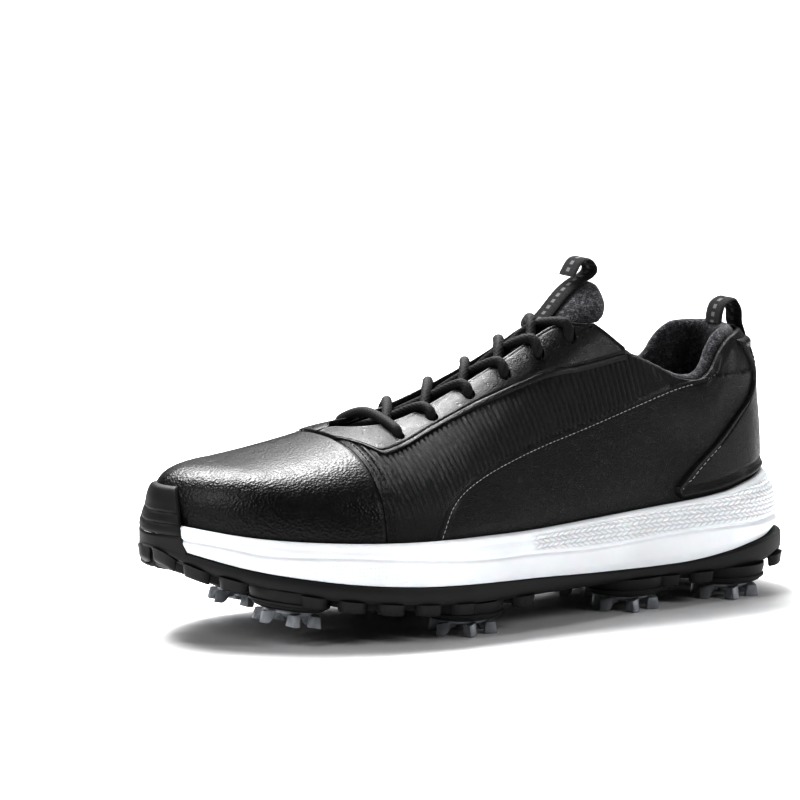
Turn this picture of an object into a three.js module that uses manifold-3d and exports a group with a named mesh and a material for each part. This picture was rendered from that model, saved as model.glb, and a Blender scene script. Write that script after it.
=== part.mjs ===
// Left golf shoe with eight twist-lock cleats, millimetres, +Z up.
// Toe towards -X, lateral (outer) side towards -Y, ground at Z = 0 under the cleat tips.
import * as THREE from 'three';
import { mergeVertices } from 'three/addons/utils/BufferGeometryUtils.js';
import Module from 'manifold-3d';

const wasm = await Module();
wasm.setup();

// ---------------------------------------------------------------- driving dimensions
const GAP = 0.3;                 // clearance between touching pieces
const TOE_CAP_X = -112;          // in front of this the upper is a rounded toe
const HEEL_CUP_X = 85;           // behind this the upper is a rounded heel
const UPPER_INSET = 5;           // from the sole's edge in to the leather
const RIM_INSET = 1.6;           // from the sole's edge in to the midsole's top edge
const LEATHER = 1.6;             // outer leather thickness
const SEAM_X = -70.5;            // the vamp ends here and the quarters begin
const BOARD_THICKNESS = 1.6;
const INSOLE_THICKNESS = 4.5;
const SHANK_THICKNESS = 1.4;
const CLEAT_RADIUS = 13;         // out to the leg tips
const CLEAT_HEIGHT = 6.6;        // from the pod's face to the leg tips
const HUB_RADIUS = 8.6;
const LEG_COUNT = 6;
const STUD_RADIUS = 5;
const STUD_LENGTH = 4;
const POD_RADIUS = 17.5;
const INSERT_RADIUS = 8.5;
const INSERT_DEPTH = 5.8;
const WIDTH_SHIFT = 1.15;        // puts the middle of the shoe's width at Y = 0
const LACE_RADIUS = 1.9;
const LACE_BEND = 3.4;           // radius of the lace's turn through a hole
const HOLE_RADIUS = 2.7;
const HOLE_X = [-48, -30, -11.5, 6, 22.5, 38];
const MEDIAL_HOLE_SCALE = 0.93;  // the medial side is steeper, so its holes sit closer in

// Sole outline, toe tip first, round the lateral side to the heel and back along the medial side.
const OUTLINE = [[-150, 10], [-147.5, -1], [-141, -12.5], [-126, -30], [-108, -43], [-84, -54], [-60, -59.5],
  [-36, -60], [-12, -55.5], [15, -49], [45, -43.5], [75, -40], [105, -39], [127, -35], [142, -24.5],
  [148.5, -13], [150, 0], [148.5, 13], [142, 24.5], [127, 35], [105, 38.5], [75, 37.5], [45, 34], [15, 32],
  [-12, 37.5], [-36, 48], [-60, 55.5], [-84, 58], [-108, 55.5], [-126, 46.5], [-141, 32.5], [-147.5, 21]];
const HEEL_TIP = 16;             // the outline point at the back of the heel

// Cleat places and how far each one's face leans towards the toe.
const CLEATS = [
  { name: 'toe_lateral', x: -102.6, y: -27, z: 15.2, lean: 9.5 },
  { name: 'toe_medial', x: -91.5, y: 36, z: 13.4, lean: 8.5 },
  { name: 'ball_lateral', x: -26.7, y: -40.5, z: CLEAT_HEIGHT, lean: 0 },
  { name: 'ball_medial', x: -29.1, y: 26, z: CLEAT_HEIGHT, lean: 0 },
  { name: 'arch_lateral', x: 62.1, y: -26, z: CLEAT_HEIGHT, lean: 0 },
  { name: 'arch_medial', x: 66.6, y: 16, z: CLEAT_HEIGHT, lean: 0 },
  { name: 'heel_lateral', x: 115, y: -22, z: CLEAT_HEIGHT, lean: 0 },
  { name: 'heel_medial', x: 124, y: 18.5, z: CLEAT_HEIGHT, lean: 0 },
];

// ---------------------------------------------------------------- profile curves
// Smooth curve through [x, value] points, flat past its ends.
function curve(points) {
  const last = points.length - 1;
  const slopes = points.map((p, i) => {
    const a = points[Math.max(i - 1, 0)];
    const b = points[Math.min(i + 1, last)];
    return (b[1] - a[1]) / (b[0] - a[0]);
  });
  return (x) => {
    if (x <= points[0][0]) return points[0][1];
    if (x >= points[last][0]) return points[last][1];
    let i = 0;
    while (x > points[i + 1][0]) i += 1;
    const [x0, y0] = points[i];
    const [x1, y1] = points[i + 1];
    const h = x1 - x0;
    const t = (x - x0) / h;
    const t2 = t * t;
    const t3 = t2 * t;
    return y0 * (2 * t3 - 3 * t2 + 1) + h * slopes[i] * (t3 - 2 * t2 + t)
      + y1 * (3 * t2 - 2 * t3) + h * slopes[i + 1] * (t3 - t2);
  };
}

const lerp = (a, b, t) => a + (b - a) * t;
const clamp = (v, lo, hi) => Math.min(Math.max(v, lo), hi);
const smooth = (a, b, x) => {
  const t = clamp((x - a) / (b - a), 0, 1);
  return t * t * (3 - 2 * t);
};

// Heights of the sole's lines along the shoe.
const plateBottom = curve([[-150, 37], [-140, 30], [-125, 24.5], [-105, 19.5], [-80, 15.5], [-50, 12.8],
  [-20, 11.6], [40, 11.2], [120, 11], [150, 14]]);
const plateTop = curve([[-150, 42], [-137, 37.5], [-126, 34], [-111, 30.7], [-86, 26.8], [-58, 24.2],
  [-29, 22.8], [0, 21.5], [41, 19.4], [83, 19], [108, 21.6], [123, 24], [150, 27]]);
const midsoleTop = curve([[-150, 51.5], [-126, 47.2], [-103, 45], [-67, 43.3], [-28, 42.7],
  [13, 42.1], [80, 45.2], [108, 47.8], [122, 50.5], [150, 54]]);
const footbed = curve([[-150, 44], [-130, 39.5], [-100, 35.5], [-60, 33], [-20, 32], [40, 32.5], [100, 36],
  [150, 38]]);
const lean = curve([[80, 0], [105, 0.8], [125, 2.8], [150, 6]]);

// Upper: ridge height and place, and how square each section is.
const ridge = curve([[-118, 73.4], [-109, 74.2], [-95, 76.5], [-78, 80.5], [-64, 84.5], [-44, 88.5], [-27, 94.5],
  [6, 111.5], [42, 133], [60, 142], [85, 150]]);
const ridgeY = curve([[-118, 10], [-100, 9.5], [-78, 7], [-44, 2], [0, -2], [60, -1], [85, 0]]);
const squareness = curve([[-118, 3.3], [-95, 2.8], [-72, 2.4], [-44, 2.08], [42, 2.1], [85, 2.5]]);

// Collar rim height behind the eyestays, and the laced opening measured from the ridge.
const topline = curve([[40, 130.5], [46.5, 125.8], [52, 121.4], [62, 112.4], [69, 108.8], [76, 105.2], [84, 100.6],
  [92, 98.4], [98, 98.4], [104, 102.4], [109, 109], [115, 113.6], [124, 116], [136, 116.8]]);
const throatHalf = curve([[-70, 0.5], [-65, 0.7], [-60, 9], [-50, 13.5], [-30, 13], [-10, 12], [28, 12.5],
  [38, 15], [46, 19], [58, 22]]);
const eyestayHalf = curve([[-72, 11], [-67, 24.5], [-61, 35.5], [-58, 36.2], [-50, 33.8], [-34, 28.7], [-16, 26],
  [1, 25.2], [20, 25.2], [39, 26.7], [62, 27.5]]);
const holeHalf = curve([[-48, 26.5], [-39, 24.3], [-30, 21.8], [-11.5, 19.3], [22.5, 19], [38, 19.8]]);
const holeOffset = (x, side) => holeHalf(x) * (side < 0 ? 1 : MEDIAL_HOLE_SCALE);

// ---------------------------------------------------------------- sole outline
// Distance along the closed outline at each of its points, and periodic curves through them.
const travel = [0];
for (let i = 1; i <= OUTLINE.length; i += 1) {
  const [x0, y0] = OUTLINE[i - 1];
  const [x1, y1] = OUTLINE[i % OUTLINE.length];
  travel.push(travel[i - 1] + Math.hypot(x1 - x0, y1 - y0));
}
const around = travel[OUTLINE.length];
const heelTravel = travel[HEEL_TIP];

function loopCurve(axis) {
  const points = [];
  for (let i = -3; i <= OUTLINE.length + 3; i += 1) {
    const wrapped = (i + OUTLINE.length) % OUTLINE.length;
    const turns = Math.floor(i / OUTLINE.length);
    points.push([travel[wrapped] + turns * around, OUTLINE[wrapped][axis]]);
  }
  return curve(points);
}
const outlineX = loopCurve(0);
const outlineY = loopCurve(1);

// Distance along the outline where one side reaches x.
function travelAt(x, side) {
  let low = side < 0 ? 0 : around;
  let high = heelTravel;
  for (let i = 0; i < 40; i += 1) {
    const mid = (low + high) / 2;
    if (outlineX(mid) < x) low = mid;
    else high = mid;
  }
  return (low + high) / 2;
}
const toeEnd = { '-1': travelAt(TOE_CAP_X, -1), 1: travelAt(TOE_CAP_X, 1) };
const heelStart = { '-1': travelAt(HEEL_CUP_X, -1), 1: travelAt(HEEL_CUP_X, 1) };

// Stations: -1 to 0 round the toe from its tip, 0 to 1 straight along X, 1 to 2 round the heel to its back.
const stationOf = (x) => (x - TOE_CAP_X) / (HEEL_CUP_X - TOE_CAP_X);

function edgePoint(station, side, inset) {
  let along;
  if (station < 0) along = lerp(side < 0 ? 0 : around, toeEnd[side], station + 1);
  else if (station > 1) along = lerp(heelStart[side], heelTravel, station - 1);
  else along = travelAt(lerp(TOE_CAP_X, HEEL_CUP_X, station), side);
  const step = 0.5;
  const dx = outlineX(along + step) - outlineX(along - step);
  const dy = outlineY(along + step) - outlineY(along - step);
  const size = Math.hypot(dx, dy);
  return new THREE.Vector2(outlineX(along) - dy / size * inset, outlineY(along) + dx / size * inset);
}

// ---------------------------------------------------------------- the upper's outer surface
// rise: below 0 the skirt inside the midsole's rim, 0 to 1 from the rim up to the ridge.
// depth: inwards from the leather's outer face.
function upperPoint(station, rise, side, depth) {
  const edge = edgePoint(station, side, 0);
  const base = edgePoint(station, side, UPPER_INSET + lean(edge.x) + depth);
  let spineX = clamp(lerp(TOE_CAP_X, HEEL_CUP_X, station), TOE_CAP_X, HEEL_CUP_X);
  if (station < 0) spineX += station * 6;
  if (station > 1) spineX += (station - 1) * 3;
  const baseZ = midsoleTop(edge.x) - 2.5;
  if (rise < 0) return new THREE.Vector3(base.x, base.y, lerp(baseZ, footbed(edge.x) + GAP, -rise));
  const power = 2 / squareness(spineX);
  const angle = Math.min(rise, 1) * Math.PI / 2;
  const across = Math.cos(angle) ** power;
  const up = Math.sin(angle) ** power;
  const spineZ = ridge(spineX) - depth;
  return new THREE.Vector3(
    spineX + (base.x - spineX) * across,
    ridgeY(spineX) + (base.y - ridgeY(spineX)) * across,
    baseZ + (spineZ - baseZ) * up,
  );
}

// The rise at which a section first passes a test on its point.
function riseWhere(station, side, test) {
  let low = 0;
  let high = 1;
  for (let i = 0; i < 24; i += 1) {
    const mid = (low + high) / 2;
    if (test(upperPoint(station, mid, side, 0))) high = mid;
    else low = mid;
  }
  return high;
}
const riseAtOffset = (station, side, offset) => riseWhere(
  station, side, (p) => Math.abs(p.y - ridgeY(p.x)) < offset,
);
const riseAtTopline = (station, side) => riseWhere(station, side, (p) => p.z > topline(p.x));

// ---------------------------------------------------------------- mesh helpers
function closedGeometry(positions, index) {
  const geometry = new THREE.BufferGeometry();
  geometry.setAttribute('position', new THREE.Float32BufferAttribute(positions, 3));
  geometry.setIndex(index);
  return geometry;
}

// Merges shared corners, drops faces that collapsed, and turns an inside-out body round.
function outward(geometry) {
  const merged = mergeVertices(geometry, 1e-3);
  const corners = merged.attributes.position;
  const faces = merged.index.array;
  const index = [];
  let volume = 0;
  const [a, b, c] = [new THREE.Vector3(), new THREE.Vector3(), new THREE.Vector3()];
  for (let i = 0; i < faces.length; i += 3) {
    const [p, q, r] = [faces[i], faces[i + 1], faces[i + 2]];
    if (p === q || q === r || p === r) continue;
    a.fromBufferAttribute(corners, p);
    b.fromBufferAttribute(corners, q);
    c.fromBufferAttribute(corners, r);
    volume += a.dot(b.cross(c));
    index.push(p, q, r);
  }
  if (volume < 0) {
    for (let i = 0; i < index.length; i += 3) [index[i], index[i + 1]] = [index[i + 1], index[i]];
  }
  merged.setIndex(index);
  return merged;
}

// Closed body between a grid of outer points and the matching inner grid.
// foldedStart and foldedEnd: that first or last row is folded onto itself, so it needs no wall.
function shell(outer, inner, { foldedStart = false, foldedEnd = false } = {}) {
  const rows = outer.length;
  const columns = outer[0].length;
  const positions = [outer, inner].flat(2).flatMap((p) => [p.x, p.y, p.z]);
  const at = (layer, i, j) => (layer * rows + i) * columns + j;
  const index = [];
  const quad = (a, b, c, d) => index.push(a, b, c, a, c, d);
  for (let i = 0; i < rows - 1; i += 1) {
    for (let j = 0; j < columns - 1; j += 1) {
      quad(at(0, i, j), at(0, i + 1, j), at(0, i + 1, j + 1), at(0, i, j + 1));
      quad(at(1, i, j), at(1, i, j + 1), at(1, i + 1, j + 1), at(1, i + 1, j));
    }
    const end = columns - 1;
    quad(at(0, i, 0), at(1, i, 0), at(1, i + 1, 0), at(0, i + 1, 0));
    quad(at(0, i, end), at(0, i + 1, end), at(1, i + 1, end), at(1, i, end));
  }
  for (let j = 0; j < columns - 1; j += 1) {
    const end = rows - 1;
    if (!foldedStart) quad(at(0, 0, j), at(0, 0, j + 1), at(1, 0, j + 1), at(1, 0, j));
    if (!foldedEnd) quad(at(0, end, j), at(1, end, j), at(1, end, j + 1), at(0, end, j + 1));
  }
  return outward(closedGeometry(positions, index));
}

// Closed body lofted through rings whose first and last ring are collapsed to a line or a point.
function pointedLoft(rings) {
  const count = rings[0].length;
  const positions = rings.flat().flatMap((p) => [p.x, p.y, p.z]);
  const index = [];
  for (let i = 0; i < rings.length - 1; i += 1) {
    for (let j = 0; j < count; j += 1) {
      const a = i * count + j;
      const b = i * count + (j + 1) % count;
      index.push(a, b, b + count, a, b + count, a + count);
    }
  }
  return outward(closedGeometry(positions, index));
}

// Block with eight corners: four of one end, then the four of the other end in the same order.
function block(corners) {
  const quads = [[0, 1, 2, 3], [4, 7, 6, 5], [0, 4, 5, 1], [1, 5, 6, 2], [2, 6, 7, 3], [3, 7, 4, 0]];
  const index = quads.flatMap(([a, b, c, d]) => [a, b, c, a, c, d]);
  return outward(closedGeometry(corners.flatMap((p) => [p.x, p.y, p.z]), index));
}

function toManifold(geometry) {
  const bare = geometry.clone();
  bare.deleteAttribute('normal');
  bare.deleteAttribute('uv');
  const merged = mergeVertices(bare, 1e-4);
  const mesh = new wasm.Mesh({
    numProp: 3,
    vertProperties: Float32Array.from(merged.attributes.position.array),
    triVerts: Uint32Array.from(merged.index.array),
  });
  return new wasm.Manifold(mesh);
}

function fromManifold(solid) {
  const mesh = solid.getMesh();
  return closedGeometry(Array.from(mesh.vertProperties), Array.from(mesh.triVerts));
}

function combine(geometry, joined, cutters = []) {
  let body = toManifold(geometry);
  for (const part of joined) body = body.add(toManifold(part));
  for (const cutter of cutters) body = body.subtract(toManifold(cutter));
  return fromManifold(body);
}

const range = (from, to, steps) => Array.from({ length: steps + 1 }, (_, i) => lerp(from, to, i / steps));

// Upright cylinder between two heights.
function column(radius, x, y, low, high, sides) {
  const geometry = new THREE.CylinderGeometry(radius, radius, high - low, sides);
  geometry.rotateX(Math.PI / 2);
  geometry.translate(x, y, (low + high) / 2);
  return geometry;
}

// ---------------------------------------------------------------- materials and scene
const material = (color, roughness) => new THREE.MeshStandardMaterial({ color, roughness, metalness: 0 });
const LOOKS = {
  leather: material('#17181a', 0.42),
  rubber: material('#1b1b1d', 0.62),
  foam: material('#ecedee', 0.7),
  felt: material('#3a3a3e', 0.95),
  webbing: material('#202124', 0.85),
  cord: material('#141416', 0.8),
  cleat: material('#b9bcc0', 0.45),
  board: material('#c9c2b2', 0.9),
  plastic: material('#2b2c2e', 0.5),
};

const shoe = new THREE.Group();
shoe.position.y = WIDTH_SHIFT;
function add(name, geometry, look, parent = shoe) {
  const mesh = new THREE.Mesh(geometry, LOOKS[look]);
  mesh.name = name;
  parent.add(mesh);
}

// ---------------------------------------------------------------- sole
const TOE_STATIONS = range(-1, 0, 8);
const HEEL_STATIONS = range(1, 2, 6);
const seam = stationOf(SEAM_X);
const SOLE_STATIONS = [...TOE_STATIONS, ...range(0, seam, 3).slice(1), ...range(seam, 1, 7).slice(1, -1),
  ...HEEL_STATIONS];

// Ring of a sole layer: up the lateral wall, across the top, down the medial wall, across the bottom.
// wall: [inset, height function] pairs from the bottom to the top.
function soleRing(station, wall, acrossSteps) {
  const ring = [];
  const wallPoint = (side, [inset, height]) => {
    const edge = edgePoint(station, side, 0);
    const p = edgePoint(station, side, inset + lean(edge.x) * clamp(inset / RIM_INSET, 0, 1));
    return new THREE.Vector3(p.x, p.y, height(edge.x));
  };
  const lateral = wall.map((w) => wallPoint(-1, w));
  const medial = wall.map((w) => wallPoint(1, w)).reverse();
  ring.push(...lateral);
  for (let i = 1; i < acrossSteps; i += 1) {
    ring.push(lateral[lateral.length - 1].clone().lerp(medial[0], i / acrossSteps));
  }
  ring.push(...medial);
  for (let i = 1; i < acrossSteps; i += 1) {
    ring.push(medial[medial.length - 1].clone().lerp(lateral[0], i / acrossSteps));
  }
  return ring;
}

const soleLayer = (wall, acrossSteps = 3) => pointedLoft(
  SOLE_STATIONS.map((station) => soleRing(station, wall, acrossSteps)),
);

// The bumper climbs the toe outside the midsole and the vamp. A margin makes its cutter.
const BUMPER_END = -0.7;         // station where it fades out on each side
const BUMPER_TOP = 66;
const BUMPER_THICKNESS = 2;
function bumper(margin = 0) {
  const stations = range(BUMPER_END + margin / 20, -1, 3);
  const columns = [
    ...stations.map((station) => [station, -1]),
    ...stations.slice(0, -1).reverse().map((station) => [station, 1]),
  ];
  const at = (station, side, level, depth) => {
    const edge = edgePoint(station, side, 0);
    const low = plateTop(edge.x) - 2 - margin;
    const z = lerp(low, BUMPER_TOP - 6 * (1 + station) + margin, level);
    const wall = edgePoint(station, side, depth);
    const rise = riseWhere(station, side, (p) => p.z > z);
    const skin = upperPoint(station, rise, side, depth - BUMPER_THICKNESS - 2 * GAP);
    const hug = smooth(47, 58, z);
    return new THREE.Vector3(lerp(wall.x, skin.x, hug), lerp(wall.y, skin.y, hug), z);
  };
  const grid = (depth) => columns.map(([station, side]) => range(0, 1, 4).map(
    (level) => at(station, side, level, depth),
  ));
  return shell(grid(-4 * margin), grid(BUMPER_THICKNESS + margin));
}

function podTransform(geometry, cleat) {
  geometry.rotateY(THREE.MathUtils.degToRad(cleat.lean));
  geometry.translate(cleat.x, cleat.y, cleat.z);
  return geometry;
}

function outsole() {
  const plate = soleLayer([[1.5, plateBottom], [0.2, (x) => lerp(plateBottom(x), plateTop(x), 0.35)],
    [0, (x) => lerp(plateBottom(x), plateTop(x), 0.7)], [0.4, plateTop]]);
  const pods = CLEATS.map((cleat) => podTransform(column(POD_RADIUS, 0, 0, 0, 8, 20), cleat));
  const pockets = CLEATS.map((cleat) => podTransform(
    column(INSERT_RADIUS + 2 * GAP, 0, 0, -1, INSERT_DEPTH + GAP, 14),
    cleat,
  ));
  return combine(plate, [...pods, bumper()], pockets);
}

const SHANK_FRONT_X = -10;
const SHANK_REAR_X = 96;
const SHANK_HALF = 13;
function shank(margin) {
  const rings = [];
  for (let i = 0; i <= 5; i += 1) {
    const x = lerp(SHANK_FRONT_X - margin, SHANK_REAR_X + margin, i / 5);
    const low = plateTop(x) + 2 * GAP - margin;
    const high = low + SHANK_THICKNESS + 2 * margin;
    const half = SHANK_HALF + margin;
    rings.push([[-half, high], [half, high], [half, low], [-half, low]].map(
      ([y, z]) => new THREE.Vector3(x, y, z),
    ));
  }
  const outer = rings.map((ring) => [ring[0], ring[1]]);
  const inner = rings.map((ring) => [ring[3], ring[2]]);
  return shell(outer, inner);
}

function midsole() {
  const above = (f) => (x) => lerp(plateTop(x) + GAP, midsoleTop(x), f);
  const cupWall = (x) => footbed(x) - GAP;
  const body = soleLayer([[1, above(0)], [0.4, above(0.12)], [0.2, above(0.4)], [0.5, above(0.7)],
    [RIM_INSET, above(0.95)], [RIM_INSET + 1, above(1)], [UPPER_INSET - 2 * GAP, above(0.99)],
    [UPPER_INSET - 2 * GAP, cupWall]]);
  const pocket = shank(2 * GAP);
  pocket.translate(0, 0, -GAP);
  return combine(body, [], [pocket, bumper(GAP)]);
}

add('outsole', outsole(), 'rubber');
add('midsole', midsole(), 'foam');
add('shank_plate', shank(0), 'plastic');
const boardInset = UPPER_INSET + LEATHER + 3 * GAP;
add('strobel_board', soleLayer([[boardInset, footbed],
  [boardInset, (x) => footbed(x) + BOARD_THICKNESS]]), 'board');
add('insole', soleLayer([[boardInset + 3.4, (x) => footbed(x) + BOARD_THICKNESS + GAP],
  [boardInset + 3.4, (x) => footbed(x) + BOARD_THICKNESS + GAP + INSOLE_THICKNESS]]), 'foam');

// ---------------------------------------------------------------- cleats and their inserts
// A cleat's own frame: the pod's face at Z = 0, legs down, stud up.
function cleatBody() {
  const hub = column(HUB_RADIUS, 0, 0, -2.2, -GAP, 12);
  const stud = column(STUD_RADIUS, 0, 0, -GAP - 0.5, STUD_LENGTH, 10);
  const legs = [];
  for (let i = 0; i < LEG_COUNT; i += 1) {
    const turn = i / LEG_COUNT * Math.PI * 2;
    const corner = (radius, sideways, z) => new THREE.Vector3(
      radius * Math.cos(turn) - sideways * Math.sin(turn),
      radius * Math.sin(turn) + sideways * Math.cos(turn),
      z,
    );
    const drop = -CLEAT_HEIGHT;
    legs.push(block([
      corner(5, -1.6, -1), corner(5, 1, -1), corner(10.4, 1.4, -0.8), corner(10.4, -2, -0.8),
      corner(5, -1.6, -3.2), corner(5, 1, -3.2), corner(10.4, 1.4, -3.6), corner(10.4, -2, -3.6),
    ]));
    legs.push(block([
      corner(8.8, -2, -1.4), corner(8.8, 1.4, -1.4), corner(10.6, 1.4, -0.8), corner(10.6, -2, -0.8),
      corner(11, -3, drop), corner(11, 2.4, drop), corner(CLEAT_RADIUS, 2.4, drop),
      corner(CLEAT_RADIUS, -3, drop),
    ]));
  }
  return combine(hub, [stud, ...legs]);
}

function insert() {
  const bore = STUD_RADIUS + GAP;
  const floor = STUD_LENGTH + GAP;
  const profile = [[0, floor], [bore, floor], [bore, 0], [INSERT_RADIUS, 0], [INSERT_RADIUS, INSERT_DEPTH],
    [0, INSERT_DEPTH]].map(([r, z]) => new THREE.Vector2(r, z));
  const geometry = new THREE.LatheGeometry(profile, 12);
  geometry.rotateX(Math.PI / 2);
  return outward(bareMerged(geometry));
}

function bareMerged(geometry) {
  geometry.deleteAttribute('normal');
  geometry.deleteAttribute('uv');
  return geometry;
}

for (const cleat of CLEATS) {
  const place = new THREE.Group();
  place.position.set(cleat.x, cleat.y, cleat.z);
  place.rotation.y = THREE.MathUtils.degToRad(cleat.lean);
  shoe.add(place);
  add(`cleat_${cleat.name}`, cleatBody(), 'cleat', place);
  add(`insert_${cleat.name}`, insert(), 'plastic', place);
}

// ---------------------------------------------------------------- upper panels
const bottom = () => -1;
const SIDES = { lateral: -1, medial: 1 };
const xOf = (station) => lerp(TOE_CAP_X, HEEL_CUP_X, station);
const behindSeam = stationOf(SEAM_X + GAP);

// Panel on one side between two borders; each border gives the rise at a station.
function sidePanel(side, stations, low, high, steps, depth, thickness, deepest = depth + thickness) {
  const grid = (d) => stations.map((station) => [
    ...(low(station) < 0 ? [-1] : []),
    ...range(Math.max(low(station), 0), high(station), steps),
  ].map((rise) => upperPoint(station, rise, side, d)));
  return shell(grid(depth), grid(deepest));
}

// Panel right over the toe, from the lateral base to the medial base.
function toePanel(lastStation, rises, depth, thickness) {
  const stations = [...TOE_STATIONS, ...range(0, lastStation, 3).slice(1)];
  const backDown = rises.slice(0, -1).reverse();
  const grid = (d) => stations.map((station) => [
    ...rises.map((rise) => upperPoint(station, rise, -1, d)),
    ...backDown.map((rise) => upperPoint(station, rise, 1, d)),
  ]);
  return shell(grid(depth), grid(depth + thickness), { foldedStart: true });
}

// Panel round the heel from one side to the other, between two heights.
function heelPanel(fromX, low, high, steps, depth, deepest) {
  const stations = [...range(stationOf(fromX), 1, 3), ...HEEL_STATIONS.slice(1)];
  const columns = [
    ...stations.map((station) => [station, -1]),
    ...stations.slice(0, -1).reverse().map((station) => [station, 1]),
  ];
  const grid = (d) => columns.map(([station, side]) => {
    const levels = range(low(station, side), high(station, side), steps);
    return levels.map((z) => {
      const rise = riseWhere(station, side, (p) => p.z > z);
      const point = upperPoint(station, rise, side, d);
      return new THREE.Vector3(point.x, point.y, z);
    });
  });
  return shell(grid(depth), grid(deepest));
}

const DOME = range(0, 1, 7);
add('vamp', toePanel(seam, [-1, ...DOME], 0, LEATHER), 'leather');
add('toe_puff', toePanel(0, DOME.slice(1), LEATHER + GAP, 1), 'board');
add('vamp_lining', toePanel(stationOf(-74), DOME.slice(1), LEATHER + 1 + 2 * GAP, 0.9), 'felt');

// Lower border of an eyestay, measured from the ridge: narrower on the steeper medial side.
function borderOffset(station, side, spare) {
  const x = xOf(station);
  const half = (s) => Math.abs(edgePoint(station, s, UPPER_INSET).y - ridgeY(x));
  return (eyestayHalf(x) + spare) * Math.min(half(side) / half(-1), 1) ** 0.35;
}

// The station where an eyestay runs out against the collar's rim.
function eyestayEnd(side) {
  let low = 0.5;
  let high = 1;
  for (let i = 0; i < 24; i += 1) {
    const mid = (low + high) / 2;
    if (riseAtOffset(mid, side, borderOffset(mid, side, 0)) < riseAtTopline(mid, side)) low = mid;
    else high = mid;
  }
  return low;
}

function holeCutter(x, side) {
  const station = stationOf(x);
  const rise = riseAtOffset(station, side, holeOffset(x, side));
  const centre = upperPoint(station, rise, side, 0);
  const inside = upperPoint(station, rise, side, 8);
  const hole = new THREE.CylinderGeometry(HOLE_RADIUS, HOLE_RADIUS, 12, 8);
  const axis = centre.clone().sub(inside).normalize();
  hole.applyQuaternion(new THREE.Quaternion().setFromUnitVectors(new THREE.Vector3(0, 1, 0), axis));
  hole.translate(centre.x, centre.y, centre.z);
  return hole;
}

const eyestays = {};
for (const [name, side] of Object.entries(SIDES)) {
  const end = eyestayEnd(side) - 0.012;
  const laced = range(behindSeam, end, 11);
  const border = (spare) => (station) => riseAtOffset(station, side, borderOffset(station, side, spare));
  const quarterTop = (station) => Math.min(
    station <= end ? border(GAP)(station) : 1,
    riseAtTopline(station, side),
  );
  const quarterStations = [...laced, ...range(end, 1, 3).slice(1), ...range(1, 2 - 0.004, 6).slice(1)];
  add(`quarter_${name}`, sidePanel(side, quarterStations, bottom, quarterTop, 5, 0, LEATHER), 'leather');

  const throat = (station) => Math.min(
    riseAtOffset(station, side, throatHalf(xOf(station))),
    riseAtTopline(station, side),
  );
  const strip = sidePanel(side, laced, border(0), throat, 2, 0, LEATHER);
  eyestays[name] = combine(strip, [], HOLE_X.map((x) => holeCutter(x, side)));

  const liningStations = range(stationOf(-70), stationOf(52), 9);
  const liningTop = (station) => Math.max(border(6)(station), 0.15);
  const liningLow = () => 0.04;
  add(`quarter_lining_${name}`, sidePanel(side, liningStations, liningLow, liningTop, 4,
    LEATHER + 2 * GAP, 0.9), 'felt');
}

// ---------------------------------------------------------------- heel pieces
const COUNTER_TOP = 82;
const LINING_FRONT_X = 62;
const LINING_LOW = 52;
const OVERLAY_THICKNESS = 1.3;
const OVERLAY_LIFT = 0.8;        // clears the flat facets of the quarters beneath
const OVERLAY_TOP = 112;
const rimHeight = (station, side) => topline(edgePoint(station, side, UPPER_INSET).x);

// The overlay's front edge: the station it reaches at each height.
const overlayFront = curve([[44, 1.02], [49, 0.985], [53, 0.995], [60.6, 1.09], [68.3, 1.22], [78, 1.37], [86, 1.54],
  [92, 1.61], [98, 1.62], [105, 1.56], [112, 1.5]]);

function heelOverlay() {
  const columns = range(-1, 1, 18);
  const grid = (d) => range(0, 1, 9).map((level) => columns.map((t) => {
    const side = t < 0 ? -1 : 1;
    const roughZ = lerp(46, OVERLAY_TOP, level);
    const station = 2 - (2 - overlayFront(roughZ)) * Math.abs(t);
    const low = midsoleTop(edgePoint(station, side, 0).x) + 0.8;
    const z = lerp(low, OVERLAY_TOP, level);
    const rise = riseWhere(station, side, (p) => p.z > z);
    const point = upperPoint(station, rise, side, d);
    return new THREE.Vector3(point.x, point.y, z);
  }));
  return shell(grid(-OVERLAY_LIFT - OVERLAY_THICKNESS), grid(-OVERLAY_LIFT));
}
add('heel_overlay', heelOverlay(), 'leather');
add('heel_counter', heelPanel(66, () => 50, () => COUNTER_TOP, 3, LEATHER + GAP, LEATHER + GAP + 1.2), 'board');
add('collar_lining', heelPanel(
  LINING_FRONT_X,
  () => LINING_LOW,
  (station, side) => rimHeight(station, side) + 0.8,
  5,
  LEATHER + 2 * GAP + 1.2,
  LEATHER + 2 * GAP + 8.2,
), 'felt');

// ---------------------------------------------------------------- tongue
// Point at a signed distance across from the ridge.
function crossPoint(x, offset, depth) {
  const side = offset < 0 ? -1 : 1;
  const station = stationOf(x);
  const rise = offset === 0 ? 1 : riseAtOffset(station, side, Math.abs(offset));
  return upperPoint(station, rise, side, depth);
}

const TONGUE_DEPTH = 7.1;        // below the leather's face, so that the lace runs above it
const TONGUE_THICKNESS = 4;
const TONGUE_HALF = 24;
const HINGE_X = 44;
const TONGUE_TIP_X = 61;
const TONGUE_TOP_THICKNESS = 8;
const tongueTopHalf = curve([[44, 15.5], [50, 17.5], [56, 19], [61, 17]]);

function acrossPanel(xs, half, columns, depth, thickness) {
  const grid = (inner) => xs.map((x) => range(-half(x), half(x), columns).map(
    (offset) => crossPoint(x, Math.abs(offset) < 0.01 ? 0 : offset, depth(x) + (inner ? thickness : 0)),
  ));
  return shell(grid(false), grid(true));
}

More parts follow.
